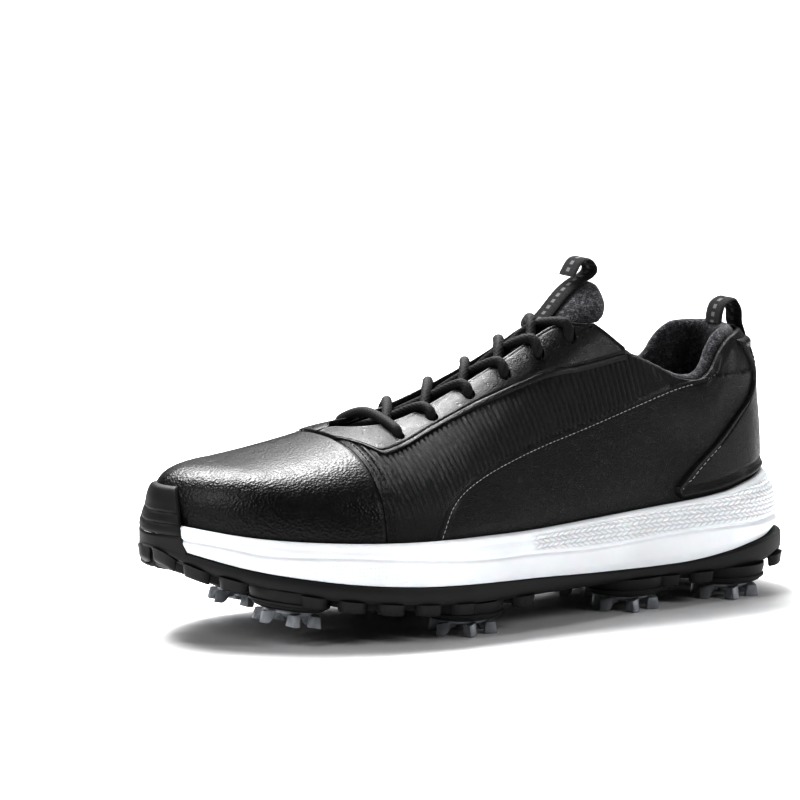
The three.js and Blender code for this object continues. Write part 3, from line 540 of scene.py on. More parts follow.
def grain_leather(name, sparkle, roughness):
    """Fine-grained calf leather with a polished finish: darker, with small creases that catch light."""
    f = Finish(name, Roughness=roughness, IOR=1.5, Specular_IOR_Level=0.4, Coat_Weight=0.12,
               Coat_Roughness=0.22)
    grain = f.add("TexVoronoi", feature="DISTANCE_TO_EDGE", Vector=f.place, Scale=1 / (0.85 * MM))
    creases = f.add("TexNoise", Vector=f.place, Scale=1 / (3.2 * MM), Detail=6.0, Roughness=0.65)
    cloudy = f.add("TexNoise", Vector=f.place, Scale=1 / (18 * MM), Detail=3.0)
    cuts = f.add("MapRange", grain, From_Min=0.0, From_Max=0.22, To_Min=0.0, To_Max=1.0)
    grained = f.add("Bump", Height=cuts, Strength=sparkle, Distance=0.2 * MM)
    return f.wear(
        Base_Color=f.add("ValToRGB", cloudy, stops=[(0.3, "#09090a"), (0.7, "#141416")]),
        Roughness=f.add("MapRange", creases, From_Min=0.3, From_Max=0.7, To_Min=roughness - 0.06,
                        To_Max=roughness + 0.1),
        Normal=f.add("Bump", Height=creases, Strength=0.4, Distance=0.3 * MM, Normal=grained))


def moulded_rubber():
    """Moulded carbon-black rubber: matte, with a fine spark-eroded mould texture and dusty greys."""
    f = Finish("rubber_moulded_black", Roughness=0.55, IOR=1.52)
    mould = f.add("TexNoise", Vector=f.place, Scale=1 / (0.7 * MM), Detail=3.0)
    cloudy = f.add("TexNoise", Vector=f.place, Scale=1 / (14 * MM), Detail=4.0)
    return f.wear(
        Base_Color=f.add("ValToRGB", cloudy, stops=[(0.3, "#131314"), (0.72, "#1f1f21")]),
        Roughness=f.add("MapRange", cloudy, To_Min=0.48, To_Max=0.64),
        Normal=f.add("Bump", Height=mould, Strength=0.35, Distance=0.12 * MM))


def moulded_foam():
    """White EVA foam from a steel mould: a matte skin, a knit relief with painted shade in its grooves, and a
    field of fine dots.
    """
    f = Finish("eva_foam_moulded_white", Roughness=0.55, IOR=1.46, Subsurface_Weight=0.12,
               Subsurface_Scale=0.003)
    along, height = f.add("SeparateXYZ", f.uv).outputs[:2]
    knit_mask = f.add("Attribute", attribute_name="knit").outputs["Fac"]
    dot_mask = f.add("Attribute", attribute_name="dots").outputs["Fac"]
    # Knit: loops 3.2 mm apart along the wall in rows 1.9 mm high, each row leaning the other way.
    row = f.add("Math", height, 1.9 * MM, operation="DIVIDE")
    row_part = f.add("Math", row, operation="FRACT")
    row_side = f.add("Math", f.add("Math", row_part, 0.5, operation="SUBTRACT"), operation="ABSOLUTE")
    parity = f.add("Math", f.add("Math", row, operation="FLOOR"), 1.0, operation="PINGPONG")
    sway = f.add("Math", f.add("Math", parity, 0.5, operation="SUBTRACT"),
                 f.add("Math", row_part, 1.3, operation="MULTIPLY"), operation="MULTIPLY")
    column = f.add("Math", f.add("Math", along, 3.2 * MM, operation="DIVIDE"), sway, operation="ADD")
    column_part = f.add("Math", column, operation="FRACT")
    column_side = f.add("Math", f.add("Math", column_part, 0.5, operation="SUBTRACT"), operation="ABSOLUTE")
    squares = [f.add("Math", f.add("Math", part, 2.0, operation="MULTIPLY"), 2.0, operation="POWER")
               for part in (row_side, column_side)]
    ring = f.add("Math", *squares, operation="ADD")
    loop = f.add("Math", f.add("Math", 1.0, ring, operation="SUBTRACT", use_clamp=True), knit_mask,
                 operation="MULTIPLY")
    dots = f.add("TexVoronoi", feature="F1", Vector=f.uv, Scale=1 / (1.6 * MM), Randomness=0.05)
    dot = f.add("Math", f.add("MapRange", dots, From_Min=0.1, From_Max=0.34, To_Min=1.0, To_Max=0.0), dot_mask,
                operation="MULTIPLY")
    skin = f.add("TexNoise", Vector=f.place, Scale=1 / (0.9 * MM), Detail=2.0)
    cloudy = f.add("TexNoise", Vector=f.place, Scale=1 / (30 * MM), Detail=3.0)
    # Painted shade: the colour drops to 0.8 in the grooves between the knit's loops and stays near white on the
    # loops.
    shade = f.add("MapRange", loop, To_Min=0.0, To_Max=1.0)
    knitted = f.add("Bump", Height=loop, Strength=0.7, Distance=0.6 * MM)
    dotted = f.add("Bump", Height=dot, Strength=0.5, Distance=0.25 * MM, Normal=knitted)
    return f.wear(
        Base_Color=f.add("Mix", data_type="RGBA", blend_type="MULTIPLY", Factor=knit_mask,
                         A=f.add("ValToRGB", cloudy, stops=[(0.3, "#e2e4e7"), (0.7, "#eceef0")]),
                         B=f.add("ValToRGB", shade, stops=[(0.0, 0.8), (0.5, 0.98)])),
        Normal=f.add("Bump", Height=skin, Strength=0.12, Distance=0.08 * MM, Normal=dotted))


def melange_felt():
    """Brushed polyester felt in mixed greys: matte, fuzzy, with short pale and dark fibres."""
    f = Finish("felt_melange_grey", Roughness=0.95, IOR=1.4, Sheen_Weight=0.25, Sheen_Roughness=0.5)
    stretch = f.add("Mapping", Vector=f.place, Scale=(1.0, 1.0, 2.6), Rotation=(0.5, 0.2, 0.3))
    fibres = f.add("TexNoise", Vector=stretch, Scale=1 / (0.85 * MM), Detail=5.0, Roughness=0.8)
    flecks = f.add("TexNoise", Vector=f.place, Scale=1 / (2.0 * MM), Detail=3.0, Roughness=0.7)
    mixed = f.add("Math", f.add("Math", fibres, 0.7, operation="MULTIPLY"),
                  f.add("Math", flecks, 0.3, operation="MULTIPLY"), operation="ADD")
    return f.wear(
        Base_Color=f.add("ValToRGB", mixed, stops=[(0.38, "#101012"), (0.5, "#38383c"), (0.6, "#88888c")]),
        Normal=f.add("Bump", Height=fibres, Strength=0.9, Distance=0.5 * MM))


def knitted_cover():
    """Insole cover: fine warp-knit nylon, matte black, with rows 3.2 mm apart shown by relief and painted
    shade.
    """
    f = Finish("nylon_knit_black", Roughness=0.85, IOR=1.45, Sheen_Weight=0.15, Sheen_Roughness=0.4)
    waves = [f.add("TexWave", wave_type="BANDS", bands_direction=axis, Vector=f.place, Scale=1 / (3.2 * MM) / 2,
                   Distortion=1.5, Detail=1.0).outputs["Fac"] for axis in ("X", "Y")]
    # Painted light and shade: the colour follows the rows' relief, darker in the grooves and lighter on the
    # tops.
    both = f.add("Math", *waves, operation="MULTIPLY")
    return f.wear(
        Base_Color=f.add("ValToRGB", both, stops=[(0.0, "#0a0a0b"), (0.8, "#242427")]),
        Normal=f.add("Bump", Height=both, Strength=0.7, Distance=0.3 * MM))


def striped_webbing():
    """Woven polyester tape: black twill with ribs 1.1 mm apart and a pale grey stripe with rungs."""
    f = Finish("polyester_webbing_striped", Roughness=0.8, IOR=1.5, Sheen_Weight=0.1)
    along, across = f.add("SeparateXYZ", f.uv).outputs[:2]
    waves = [f.add("Math", f.add("Math", way, math.tau / (pitch * MM), operation="MULTIPLY"), operation="SINE")
             for way, pitch in ((along, 1.1), (across, 0.9))]
    weave = f.add("Math", *waves, operation="MULTIPLY")
    stripe = f.add("Math", f.add("Math", across, operation="ABSOLUTE"), 1.3 * MM, operation="LESS_THAN")
    rungs = f.add("Math", f.add("Math", along, 3.4 * MM, operation="DIVIDE"), operation="FRACT")
    pale = f.add("Math", stripe, f.add("Math", rungs, 0.55, operation="LESS_THAN"), operation="MULTIPLY")
    return f.wear(
        Base_Color=f.add("Mix", data_type="RGBA", Factor=pale, A=linear("#0e0e10"), B=linear("#77787b")),
        Normal=f.add("Bump", Height=weave, Strength=0.8, Distance=0.3 * MM))


def braided_cord():
    """Braided polyester lace: black yarn with a dull sheen, fibres along each strand."""
    f = Finish("polyester_braid_black", Roughness=0.7, IOR=1.5, Sheen_Weight=0.1, Sheen_Roughness=0.4)
    fibres = f.add("TexNoise", Vector=f.place, Scale=1 / (0.4 * MM), Detail=3.0)
    return f.wear(
        Base_Color=f.add("ValToRGB", fibres, stops=[(0.35, "#08080a"), (0.7, "#1b1b1e")]),
        Normal=f.add("Bump", Height=fibres, Strength=0.5, Distance=0.15 * MM))


def moulded_plastic(name, dark, light, roughness, metallic=0.0):
    """Injection-moulded plastic: satin skin with a faint mould grain."""
    f = Finish(name, Roughness=roughness, IOR=1.5, Metallic=metallic)
    cloudy = f.add("TexNoise", Vector=f.place, Scale=1 / (3 * MM), Detail=4.0)
    skin = f.add("TexNoise", Vector=f.place, Scale=1 / (0.35 * MM), Detail=1.0)
    return f.wear(
        Base_Color=f.add("ValToRGB", cloudy, stops=[(0.3, dark), (0.7, light)]),
        Roughness=f.add("MapRange", cloudy, To_Min=roughness - 0.06, To_Max=roughness + 0.06),
        Normal=f.add("Bump", Height=skin, Strength=0.2, Distance=0.05 * MM))


def fibre_board():
    """Cellulose fibre board: pale buff, matte, with flecks."""
    f = Finish("fibre_board_buff", Roughness=0.9, IOR=1.45)
    flecks = f.add("TexNoise", Vector=f.place, Scale=1 / (1.2 * MM), Detail=4.0)
    return f.wear(
        Base_Color=f.add("ValToRGB", flecks, stops=[(0.35, "#a39a84"), (0.6, "#cdc5b2")]),
        Normal=f.add("Bump", Height=flecks, Strength=0.4, Distance=0.1 * MM))


def thread(name, dark, light):
    """Twisted polyester sewing thread."""
    f = Finish(name, Roughness=0.7, IOR=1.5)
    twist = f.add("TexNoise", Vector=f.place, Scale=1 / (0.3 * MM), Detail=2.0)
    return f.wear(Base_Color=f.add("ValToRGB", twist, stops=[(0.35, dark), (0.65, light)]))


PEBBLED = pebbled_leather()
SMOOTH = grain_leather("leather_calf_polished", 0.7, 0.36)
GLOSSY = grain_leather("leather_patent_grain", 0.4, 0.3)
RUBBER = moulded_rubber()
FOAM = moulded_foam()
FELT = melange_felt()
KNIT = knitted_cover()
WEBBING = striped_webbing()
BRAID = braided_cord()
CLEAT_GREY = moulded_plastic("urethane_moulded_grey", "#8b8e93", "#a6a9ad", 0.36, 0.1)
BLACK_NYLON = moulded_plastic("nylon_moulded_black", "#121213", "#1d1d1f", 0.42)
BOARD = fibre_board()
PALE_THREAD = thread("thread_pale_grey", "#a3a4a6", "#cbccce")
DARK_THREAD = thread("thread_black", "#0a0a0b", "#1c1c1e")


# ---------------------------------------------------------------- upper: vamp and quarters
TOE_ROWS = np.linspace(-1, 0, 90)
SWOOSH = [(-47.2, 41.8), (-44.4, 48.3), (-40.1, 56.2), (-32.1, 62.8), (-18.7, 68.5), (-4.5, 72.9),
          (13.9, 77.7), (31.3, 81.6), (44.7, 84.9), (65.6, 90.6), (81.3, 94.8), (91.6, 96.8), (99, 97.5)]
swoosh_line = rounded([(x, z, 0) for x, z in SWOOSH], 2)[:, :2]
SWOOSH_RAISE = 0.55       # how far the panel inside the stitched curve stands up
SWOOSH_STITCH_IN = 1.9    # from the curve's edge in to its stitches
RIB_PITCH = 2.5
RIB_DEPTH = 0.75
RIB_LEAN = 0.14           # how far a rib moves towards the toe for each millimetre of height


def swoosh_distance(x, z):
    """Distance outside (above and in front of) the stitched curve; negative inside it."""
    best = np.full(np.shape(x), 1e9)
    for (x0, z0), (x1, z1) in zip(swoosh_line[:-1], swoosh_line[1:]):
        t = np.clip(((x - x0) * (x1 - x0) + (z - z0) * (z1 - z0)) / ((x1 - x0) ** 2 + (z1 - z0) ** 2), 0, 1)
        best = np.minimum(best, np.hypot(x - lerp(x0, x1, t), z - lerp(z0, z1, t)))
    line_z = np.interp(x, swoosh_line[:, 0], swoosh_line[:, 1], left=-1e3)
    return np.where(z < line_z, -best, best)


def collar_puff(x, z):
    """How far the padding pushes the leather out below the collar's edge."""
    below = topline(x) - z
    return 1.5 * smooth(0, 8, below) * (1 - smooth(13, 34, below)) * smooth(62, 84, x)


def vamp():
    """Toe panel, with its rear edge thinned where it goes under the quarters."""
    stations = np.r_[TOE_ROWS, np.linspace(0, station_of(SEAM_X), 90)[1:]]
    shares = rise_of_share(np.linspace(0, 1, 90))
    columns = [(-1.0, LATERAL), (-0.5, LATERAL)] + [(v, LATERAL) for v in shares]
    columns += [(v, MEDIAL) for v in shares[::-1][1:]] + [(-0.5, MEDIAL), (-1.0, MEDIAL)]

    def grid(depth, edge):
        fade = edge * smooth(SEAM_X - 1.6, SEAM_X, x_of(stations))
        return np.stack([upper_point(stations, v, side, depth + fade) for v, side in columns], axis=1)
    points, faces = shell(grid(0.0, 0.55), grid(LEATHER, 0.0))
    make_piece("vamp_leather", points, faces, PEBBLED, replaces=["vamp"],
               merge=0.004, angle=50)


def quarter(name, side):
    """Side panel: embossed ribs, a raised curved field, and soft edges at the seam and the topline."""
    end = eyestay_end(side) - 0.012
    seam = float(station_of(SEAM_X + GAP))
    bend = float(station_of(64))
    stations = np.r_[np.linspace(seam, bend, 330), np.linspace(bend, 1, 40)[1:],
                     np.linspace(1, 1.9975, 120)[1:]]
    border = rise_at_offset(stations, side, border_offset(stations, side, GAP))
    top = np.minimum(np.where(stations <= end, border, 1), rise_at_topline(stations, side))
    shares = np.r_[np.linspace(0, 0.94, 58), np.linspace(0.94, 1, 9)[1:]]
    rise = rise_of_share(shares[None, :] * share_of_rise(top)[:, None])
    rise = np.concatenate([np.tile([-1.0, -0.5], (len(stations), 1)), rise], axis=1)
    at = stations[:, None] + 0 * rise
    flat = upper_point(at, rise, side, 0.0)
    x, z = flat[..., 0], flat[..., 2]
    outside = swoosh_distance(x, z)
    level = np.clip(rise / top[:, None], 0, 1)
    ribbed = (smooth(SEAM_X + 2, SEAM_X + 5, x) * (1 - smooth(56, 86, x)) * smooth(0.6, 1.8, outside)
              * (0.12 + 0.88 * smooth(0.12, 0.7, level)) * (rise >= 0))
    groove = 1 - np.abs(np.sin(math.pi * (x + RIB_LEAN * z) / RIB_PITCH)) ** 0.7
    raised = SWOOSH_RAISE * (1 - smooth(-0.5, 0.25, outside))
    stitch_bed = -0.28 * np.exp(-((outside + SWOOSH_STITCH_IN) / 0.5) ** 2)
    front_roll = -0.5 * (1 - smooth(0.0, 1.4, x_of(at) - SEAM_X - GAP))
    rim_roll = -1.1 * (1 - smooth(0.0, 1.7, topline(x) - z)) * (at > end)
    relief = raised + stitch_bed + front_roll + rim_roll + collar_puff(x, z) - RIB_DEPTH * ribbed * groove
    relief = np.where(rise < 0, 0, relief * smooth(0, 0.08, rise))
    outer = upper_point(at, rise, side, -relief)
    inner = upper_point(at, rise, side, LEATHER - np.minimum(collar_puff(x, z), 1.5) * (rise > 0))
    points, faces = shell(outer, inner)
    make_piece(f"quarter_leather_{name}", points, faces, SMOOTH,
               replaces=[f"quarter_{name}"], angle=55)


def swoosh_stitches(name, side):
    """Stitches just inside the stitched curve, whose pale grey thread is a painted highlight along the groove.
    """
    line = swoosh_line[swoosh_line[:, 0] < 94]
    ahead = np.gradient(line, axis=0)
    ahead /= np.linalg.norm(ahead, axis=1)[:, None]
    inside = line + np.stack([ahead[:, 1], -ahead[:, 0]], -1) * SWOOSH_STITCH_IN
    stations, rises = at_place(inside[:, 0], inside[:, 1], side)
    path, normals = surface_line(stations, rises, side, -0.3 - collar_puff(inside[:, 0], inside[:, 1]))
    points, faces = join_parts(stitches_along(path, normals, 2.2, 1.8, 0.2))
    # Painted highlight: the pale grey of these stitches stands in for the light that the stitched groove
    # catches.
    make_piece(f"stitches_swoosh_{name}", points, faces, PALE_THREAD, angle=60)


def seam_stitches(name, side):
    """Two rows of dark thread behind the toe seam."""
    top = float(rise_at_offset(station_of(SEAM_X), side, border_offset(station_of(SEAM_X), side, 3)))
    rises = rise_of_share(np.linspace(0.02, share_of_rise(top), 60))
    parts = []
    for back in (2.2, 4.4):
        path, normals = surface_line(np.full(60, station_of(SEAM_X + back)), rises, side, -0.02)
        parts += stitches_along(path, normals, 2.6, 2.0, 0.26)
    points, faces = join_parts(parts)
    make_piece(f"stitches_seam_{name}", points, faces, DARK_THREAD, angle=60)


# ---------------------------------------------------------------- eyestays
EYESTAY_LIFT = 0.75       # how far the eyestay stands off the quarter
HOLE_HALF_LENGTH, HOLE_HALF_WIDTH = 3.7, 2.3


def hole_cutter(x, side):
    """Upright oval punch through the eyestay at a lace hole."""
    station = station_of(x)
    rise = rise_at_offset(station, side, hole_offset(x, side))
    centre = upper_point(station, rise, side, 0.0)
    axis = centre - upper_point(station, rise, side, 8.0)
    axis /= np.linalg.norm(axis)
    along = np.cross(axis, [1.0, 0, 0])
    along /= np.linalg.norm(along)
    across = np.cross(along, axis)
    sides = 28
    turn = np.linspace(0, 2 * np.pi, sides, endpoint=False)
    oval = along * np.cos(turn)[:, None] * HOLE_HALF_LENGTH + across * np.sin(turn)[:, None] * HOLE_HALF_WIDTH
    return np.concatenate([centre - axis * 6 + oval, centre + axis * 6 + oval]), capped_faces(2, sides)


def eyestay(name, side):
    """Laced edge: a lifted strip with rolled edges, two pressed lines, punched holes and stitches."""
    end = eyestay_end(side) - 0.012
    stations = np.linspace(float(station_of(SEAM_X - 0.3)), end, 300)
    low = border_offset(stations, side, 0.9)
    throat = throat_half(x_of(stations))
    shares = np.r_[np.linspace(0, 0.12, 10), np.linspace(0.12, 0.9, 34)[1:], np.linspace(0.9, 1, 8)[1:]]
    rise_low = rise_at_offset(stations, side, low)
    rise_high = np.minimum(rise_at_offset(stations, side, throat), rise_at_topline(stations, side))
    rise_high = np.maximum(rise_high, rise_low + 0.02)
    share_low, share_high = share_of_rise(rise_low)[:, None], share_of_rise(rise_high)[:, None]
    rise = rise_of_share(share_low + (share_high - share_low) * shares)
    at = stations[:, None] + 0 * rise
    flat = upper_point(at, rise, side, 0.0)
    up_from_border = np.concatenate([np.zeros((len(stations), 1)), np.cumsum(
        np.linalg.norm(np.diff(flat, axis=1), axis=-1), axis=1)], axis=1)
    from_throat = up_from_border[:, -1:] - up_from_border
    from_front = np.maximum(x_of(at) - (SEAM_X - 0.3), 0)
    edge = np.minimum(np.minimum(up_from_border, from_throat), from_front)
    lift = EYESTAY_LIFT * np.sqrt(np.clip(1 - (1 - np.clip(edge / 0.9, 0, 1)) ** 2, 0, 1))
    groove = 0.38 * np.exp(-((up_from_border - 2.8) / 0.42) ** 2)
    second = 0.2 * np.exp(-((from_throat - 2.0) / 0.35) ** 2)
    outer = upper_point(at, rise, side, -lift + groove + second)
    inner = upper_point(at, rise, side, LEATHER)
    points, faces = shell(outer, inner)
    obj = make_piece(f"eyestay_leather_{name}", points, faces, GLOSSY, body=None, angle=0)
    cut_points, cut_faces = join_parts([hole_cutter(x, side) for x in HOLE_X])
    cutter = make_piece("eyestay_punch", cut_points, cut_faces, GLOSSY, body=None, angle=0)
    select_only(obj)
    punch = obj.modifiers.new("punch", "BOOLEAN")
    punch.object, punch.operation, punch.solver = cutter, "DIFFERENCE", "EXACT"
    bpy.ops.object.modifier_apply(modifier=punch.name)
    bpy.data.objects.remove(cutter)
    finish_piece(obj, GLOSSY, "shoe", [f"eyestay_{name}"], 35)
    border = border_offset(stations, side, -1.9)
    rises = rise_at_offset(stations, side, border)
    keep = (stations > station_of(-66)) & (rises < rise_at_topline(stations, side) - 0.01)
    path, normals = surface_line(stations[keep], rises[keep], side, -EYESTAY_LIFT + 0.3)
    points, faces = join_parts(stitches_along(path, normals, 2.4, 1.9, 0.28))
    make_piece(f"stitches_eyestay_{name}", points, faces, DARK_THREAD, angle=60)


# ---------------------------------------------------------------- heel overlay and the pieces inside the heel
overlay_front = curve([(44, 1.02), (49, 0.985), (53, 0.995), (60.6, 1.09), (68.3, 1.22), (78, 1.37), (86, 1.54),
                       (92, 1.61), (98, 1.62), (105, 1.56), (112, 1.5)])
OVERLAY_TOP = 112.0


def overlay_place(t, level):
    """Side, station and height on the overlay: t runs from -1 to 1 round the heel, level from foot to top."""
    side = LATERAL if t < 0 else MEDIAL
    station = 2 - (2 - overlay_front(lerp(46, OVERLAY_TOP, level))) * abs(t)
    low = midsole_top(edge_point(station, side, 0)[0]) + 0.8
    return side, station, lerp(low, OVERLAY_TOP, level)


def overlay_net(ts, levels):
    """Stations, heights and rises of the overlay, one row for each place round the heel."""
    rows = [overlay_place(t, levels) for t in ts]
    sides = np.array([row[0] for row in rows])
    stations, heights = np.stack([row[1] for row in rows]), np.stack([row[2] for row in rows])
    rises = np.empty_like(stations)
    for side in (LATERAL, MEDIAL):
        own = sides == side
        rises[own] = rise_at_height(stations[own], side, heights[own])
    return sides, stations, heights, rises


def overlay_grid(net, depth):
    """Points of the overlay's net at a depth below the leather's face."""
    sides, stations, heights, rises = net
    depth = np.broadcast_to(depth, stations.shape)
    grid = np.empty(stations.shape + (3,))
    for side in (LATERAL, MEDIAL):
        own = sides == side
        grid[own] = upper_point(stations[own], rises[own], side, depth[own])
    grid[..., 2] = heights
    return grid


OVERLAY_STITCH_IN = 5.2   # from the overlay's edge in to its stitches


def heel_overlay():
    """Outer heel panel with a thick rolled edge, and stitches that are pale at the lower front corner."""
    ts, levels = np.linspace(-1, 1, 221), np.linspace(0, 1, 100)
    net = overlay_net(ts, levels)
    flat = overlay_grid(net, 0.0)
    across = np.linalg.norm(np.diff(flat, axis=0), axis=-1)
    run = np.concatenate([np.zeros((1, len(levels))), np.cumsum(across, axis=0)])
    from_front = np.minimum(run, run[-1:] - run)
    from_top = OVERLAY_TOP - flat[..., 2]
    from_low = flat[..., 2] - flat[..., 2].min(axis=1, keepdims=True)
    edge = np.minimum(np.minimum(from_front, from_top), from_low)
    puff = collar_puff(flat[..., 0], flat[..., 2])
    roll = 0.9 * np.exp(-((edge - 1.7) / 1.5) ** 2)
    drop = 1.7 * (1 - np.sqrt(np.clip(1 - (1 - np.clip(edge / 1.4, 0, 1)) ** 2, 0, 1)))
    groove = 0.35 * np.exp(-((edge - OVERLAY_STITCH_IN) / 0.45) ** 2)
    lift = 1.5 + roll - drop - groove + puff
    points, faces = shell(overlay_grid(net, -lift), overlay_grid(net, -0.1 - puff))
    make_piece("heel_overlay_leather", points, faces, SMOOTH,
               replaces=["heel_overlay"], angle=50)
    pale, dark = [], []
    for side in (LATERAL, MEDIAL):
        _, station, zs = overlay_place(side, np.linspace(0.05, 0.93, 80))
        rises = rise_at_height(station, side, zs)
        step = upper_point(station + 0.01, rises, side, 0.0) - upper_point(station, rises, side, 0.0)
        stations = station + 0.01 * OVERLAY_STITCH_IN / np.linalg.norm(step, axis=1)
        rises = rise_at_height(stations, side, zs)
        line = upper_point(stations, rises, side, 0.0)
        path, normals = surface_line(stations, rises, side, -1.3 - collar_puff(line[:, 0], line[:, 2]))
        loops = stitches_along(path, normals, 2.6, 2.0, 0.24)
        corner = len(loops) // 3
        pale += loops[:corner]
        dark += loops[corner:]
    for name, loops, yarn in (("corner", pale, PALE_THREAD), ("edge", dark, DARK_THREAD)):
        points, faces = join_parts(loops)
        make_piece(f"stitches_overlay_{name}", points, faces, yarn, angle=60)


def heel_ring(from_x, count):
    """Stations and sides round the heel, from the lateral front to the medial front."""
    stations = np.r_[np.linspace(float(station_of(from_x)), 1, count)[:-1], np.linspace(1, 2, count * 2)]
    return [(s, LATERAL) for s in stations] + [(s, MEDIAL) for s in stations[::-1][1:]]


def heel_point(station, side, z, depth):
    """Points at given heights on the upper at one station, at a depth below the leather's face."""
    rise = rise_at_height(np.full(np.shape(z), station), side, z)
    point = upper_point(station, rise, side, depth)
    point[..., 2] = z
    return point


def heel_counter():
    """Stiffener between the heel's leather and its padding."""
    levels = np.linspace(50, 82, 24)
    ring = heel_ring(66, 12)
    outer = np.stack([heel_point(s, side, levels, LEATHER + GAP) for s, side in ring])
    inner = np.stack([heel_point(s, side, levels, LEATHER + GAP + 1.2) for s, side in ring])
    points, faces = shell(outer, inner)
    make_piece("heel_counter_board", points, faces, BOARD, replaces=["heel_counter"], angle=50)


def collar_lining():
    """Padded felt round the heel and collar: a rounded roll at the rim, thinning down to the footbed."""
    ring = heel_ring(58, 26)
    turn = np.linspace(0, 1, 34, endpoint=False)
    rows = []
    low = 48.0
    for station, side in ring:
        ex = edge_point(station, side, UPPER_INSET)[0]
        rim = float(topline(ex)) + 1.6
        front = 1 - 0.75 * (1 - smooth(float(station_of(58)), float(station_of(74)), station))
        swell = front * (7.4 if station > 1 else 6.8)
        zs = np.where(turn < 0.5, lerp(low, rim, smooth(0, 1, turn * 2) * 0.35 + turn * 2 * 0.65),
                      lerp(rim, low, smooth(0, 1, turn * 2 - 1) * 0.35 + (turn * 2 - 1) * 0.65))
        height = np.clip((zs - low) / (rim - low), 0, 1)
        body = 0.28 + 0.72 * smooth(0.2, 0.75, height)
        cap = np.sqrt(np.clip(1 - smooth(rim - 5.5, rim, zs) ** 2, 0, 1))
        middle = 3.2 + swell * body / 2
        half = swell * body / 2 * cap
        depth = middle + np.where(turn < 0.5, -half, half)
        puffed = np.interp(zs, [rim - 30, rim - 10, rim], [0, 0.8, 0.2]) * (station > station_of(66))
        rows.append(heel_point(station, side, np.minimum(zs, float(rim)), depth - puffed * (turn < 0.5)))
    grid = np.stack(rows)
    count, around = grid.shape[:2]
    obj = make_piece("collar_padding", grid.reshape(-1, 3), capped_faces(count, around), FELT, body=None,
                     angle=0)
    plump(obj, voxel=2.6, pressure=3.0, pin=lambda p: smooth(60, 78, p[:, 2]) < 0.5)
    finish_piece(obj, FELT, "shoe", ["collar_lining"], 0)
    bpy.ops.object.shade_smooth()


MOST_PUFF = 1.6           # the cloth moves no point further than this


def plump(obj, voxel, pressure, pin):
    """Remeshes a padded piece evenly and lets cloth under pressure plump it, then smooths it once."""
    select_only(obj)
    obj.data.remesh_voxel_size = voxel * MM
    obj.data.use_remesh_fix_poles = True
    bpy.ops.object.voxel_remesh()
    co = np.array([v.co for v in obj.data.vertices]) / MM
    group = obj.vertex_groups.new(name="held")
    group.add([int(i) for i in np.nonzero(pin(co))[0]], 1.0, "REPLACE")
    cloth = obj.modifiers.new("cloth", "CLOTH")
    cloth.settings.use_pressure = True
    cloth.settings.uniform_pressure_force = pressure
    cloth.settings.quality = 6
    cloth.settings.mass = 0.3
    cloth.settings.tension_stiffness = cloth.settings.compression_stiffness = 30
    cloth.settings.bending_stiffness = 2.0
    cloth.settings.air_damping = 4
    cloth.settings.vertex_group_mass = "held"
    cloth.settings.effector_weights.gravity = 0.0
    cloth.collision_settings.use_collision = False
    cloth.point_cache.frame_start, cloth.point_cache.frame_end = 1, 12
    rest = co.copy()
    for step in range(1, 13):
        bpy.context.scene.frame_set(step)
    deps = bpy.context.evaluated_depsgraph_get()
    moved = np.array([v.co for v in obj.evaluated_get(deps).data.vertices]) / MM
    obj.modifiers.remove(cloth)
    shift = moved - rest
    size = np.linalg.norm(shift, axis=1)[:, None]
    shift *= np.minimum(1, MOST_PUFF / np.maximum(size, 1e-6))
    obj.data.vertices.foreach_set("co", ((rest + shift) * MM).astype(np.float32).ravel())
    bpy.context.scene.frame_set(1)
    obj.vertex_groups.clear()
    relax = obj.modifiers.new("relax", "SMOOTH")
    relax.factor, relax.iterations = 0.5, 4
    bpy.ops.object.modifier_apply(modifier=relax.name)
    finer = obj.modifiers.new("finer", "SUBSURF")
    finer.levels = finer.render_levels = 1
    bpy.ops.object.modifier_apply(modifier=finer.name)
    obj.data.update()


# ---------------------------------------------------------------- linings, board and insole
def inner_linings():
    """Felt behind the quarters and the vamp."""
    for name, side in SIDES.items():
        stations = np.linspace(float(station_of(-70)), float(station_of(58)), 90)
        top = np.maximum(rise_at_offset(stations, side, border_offset(stations, side, 6)), 0.15)
        rise = rise_of_share(np.linspace(share_of_rise(0.04), share_of_rise(top), 30, axis=1))
        at = stations[:, None] + 0 * rise
        points, faces = shell(upper_point(at, rise, side, LEATHER + 2 * GAP),
                              upper_point(at, rise, side, LEATHER + 2 * GAP + 0.9))
        make_piece(f"quarter_felt_{name}", points, faces, FELT,
                   replaces=[f"quarter_lining_{name}"], angle=50)
    stations = np.r_[TOE_ROWS, np.linspace(0, float(station_of(-74)), 40)[1:]]
    shares = rise_of_share(np.linspace(share_of_rise(0.14), 1, 40))
    columns = [(v, LATERAL) for v in shares] + [(v, MEDIAL) for v in shares[::-1][1:]]

    def grid(depth):
        return np.stack([upper_point(stations, v, side, depth) for v, side in columns], axis=1)
    points, faces = shell(grid(LEATHER + 1 + 2 * GAP), grid(LEATHER + 1.9 + 2 * GAP))
    make_piece("vamp_felt", points, faces, FELT, replaces=["vamp_lining"], merge=0.004,
               angle=50)


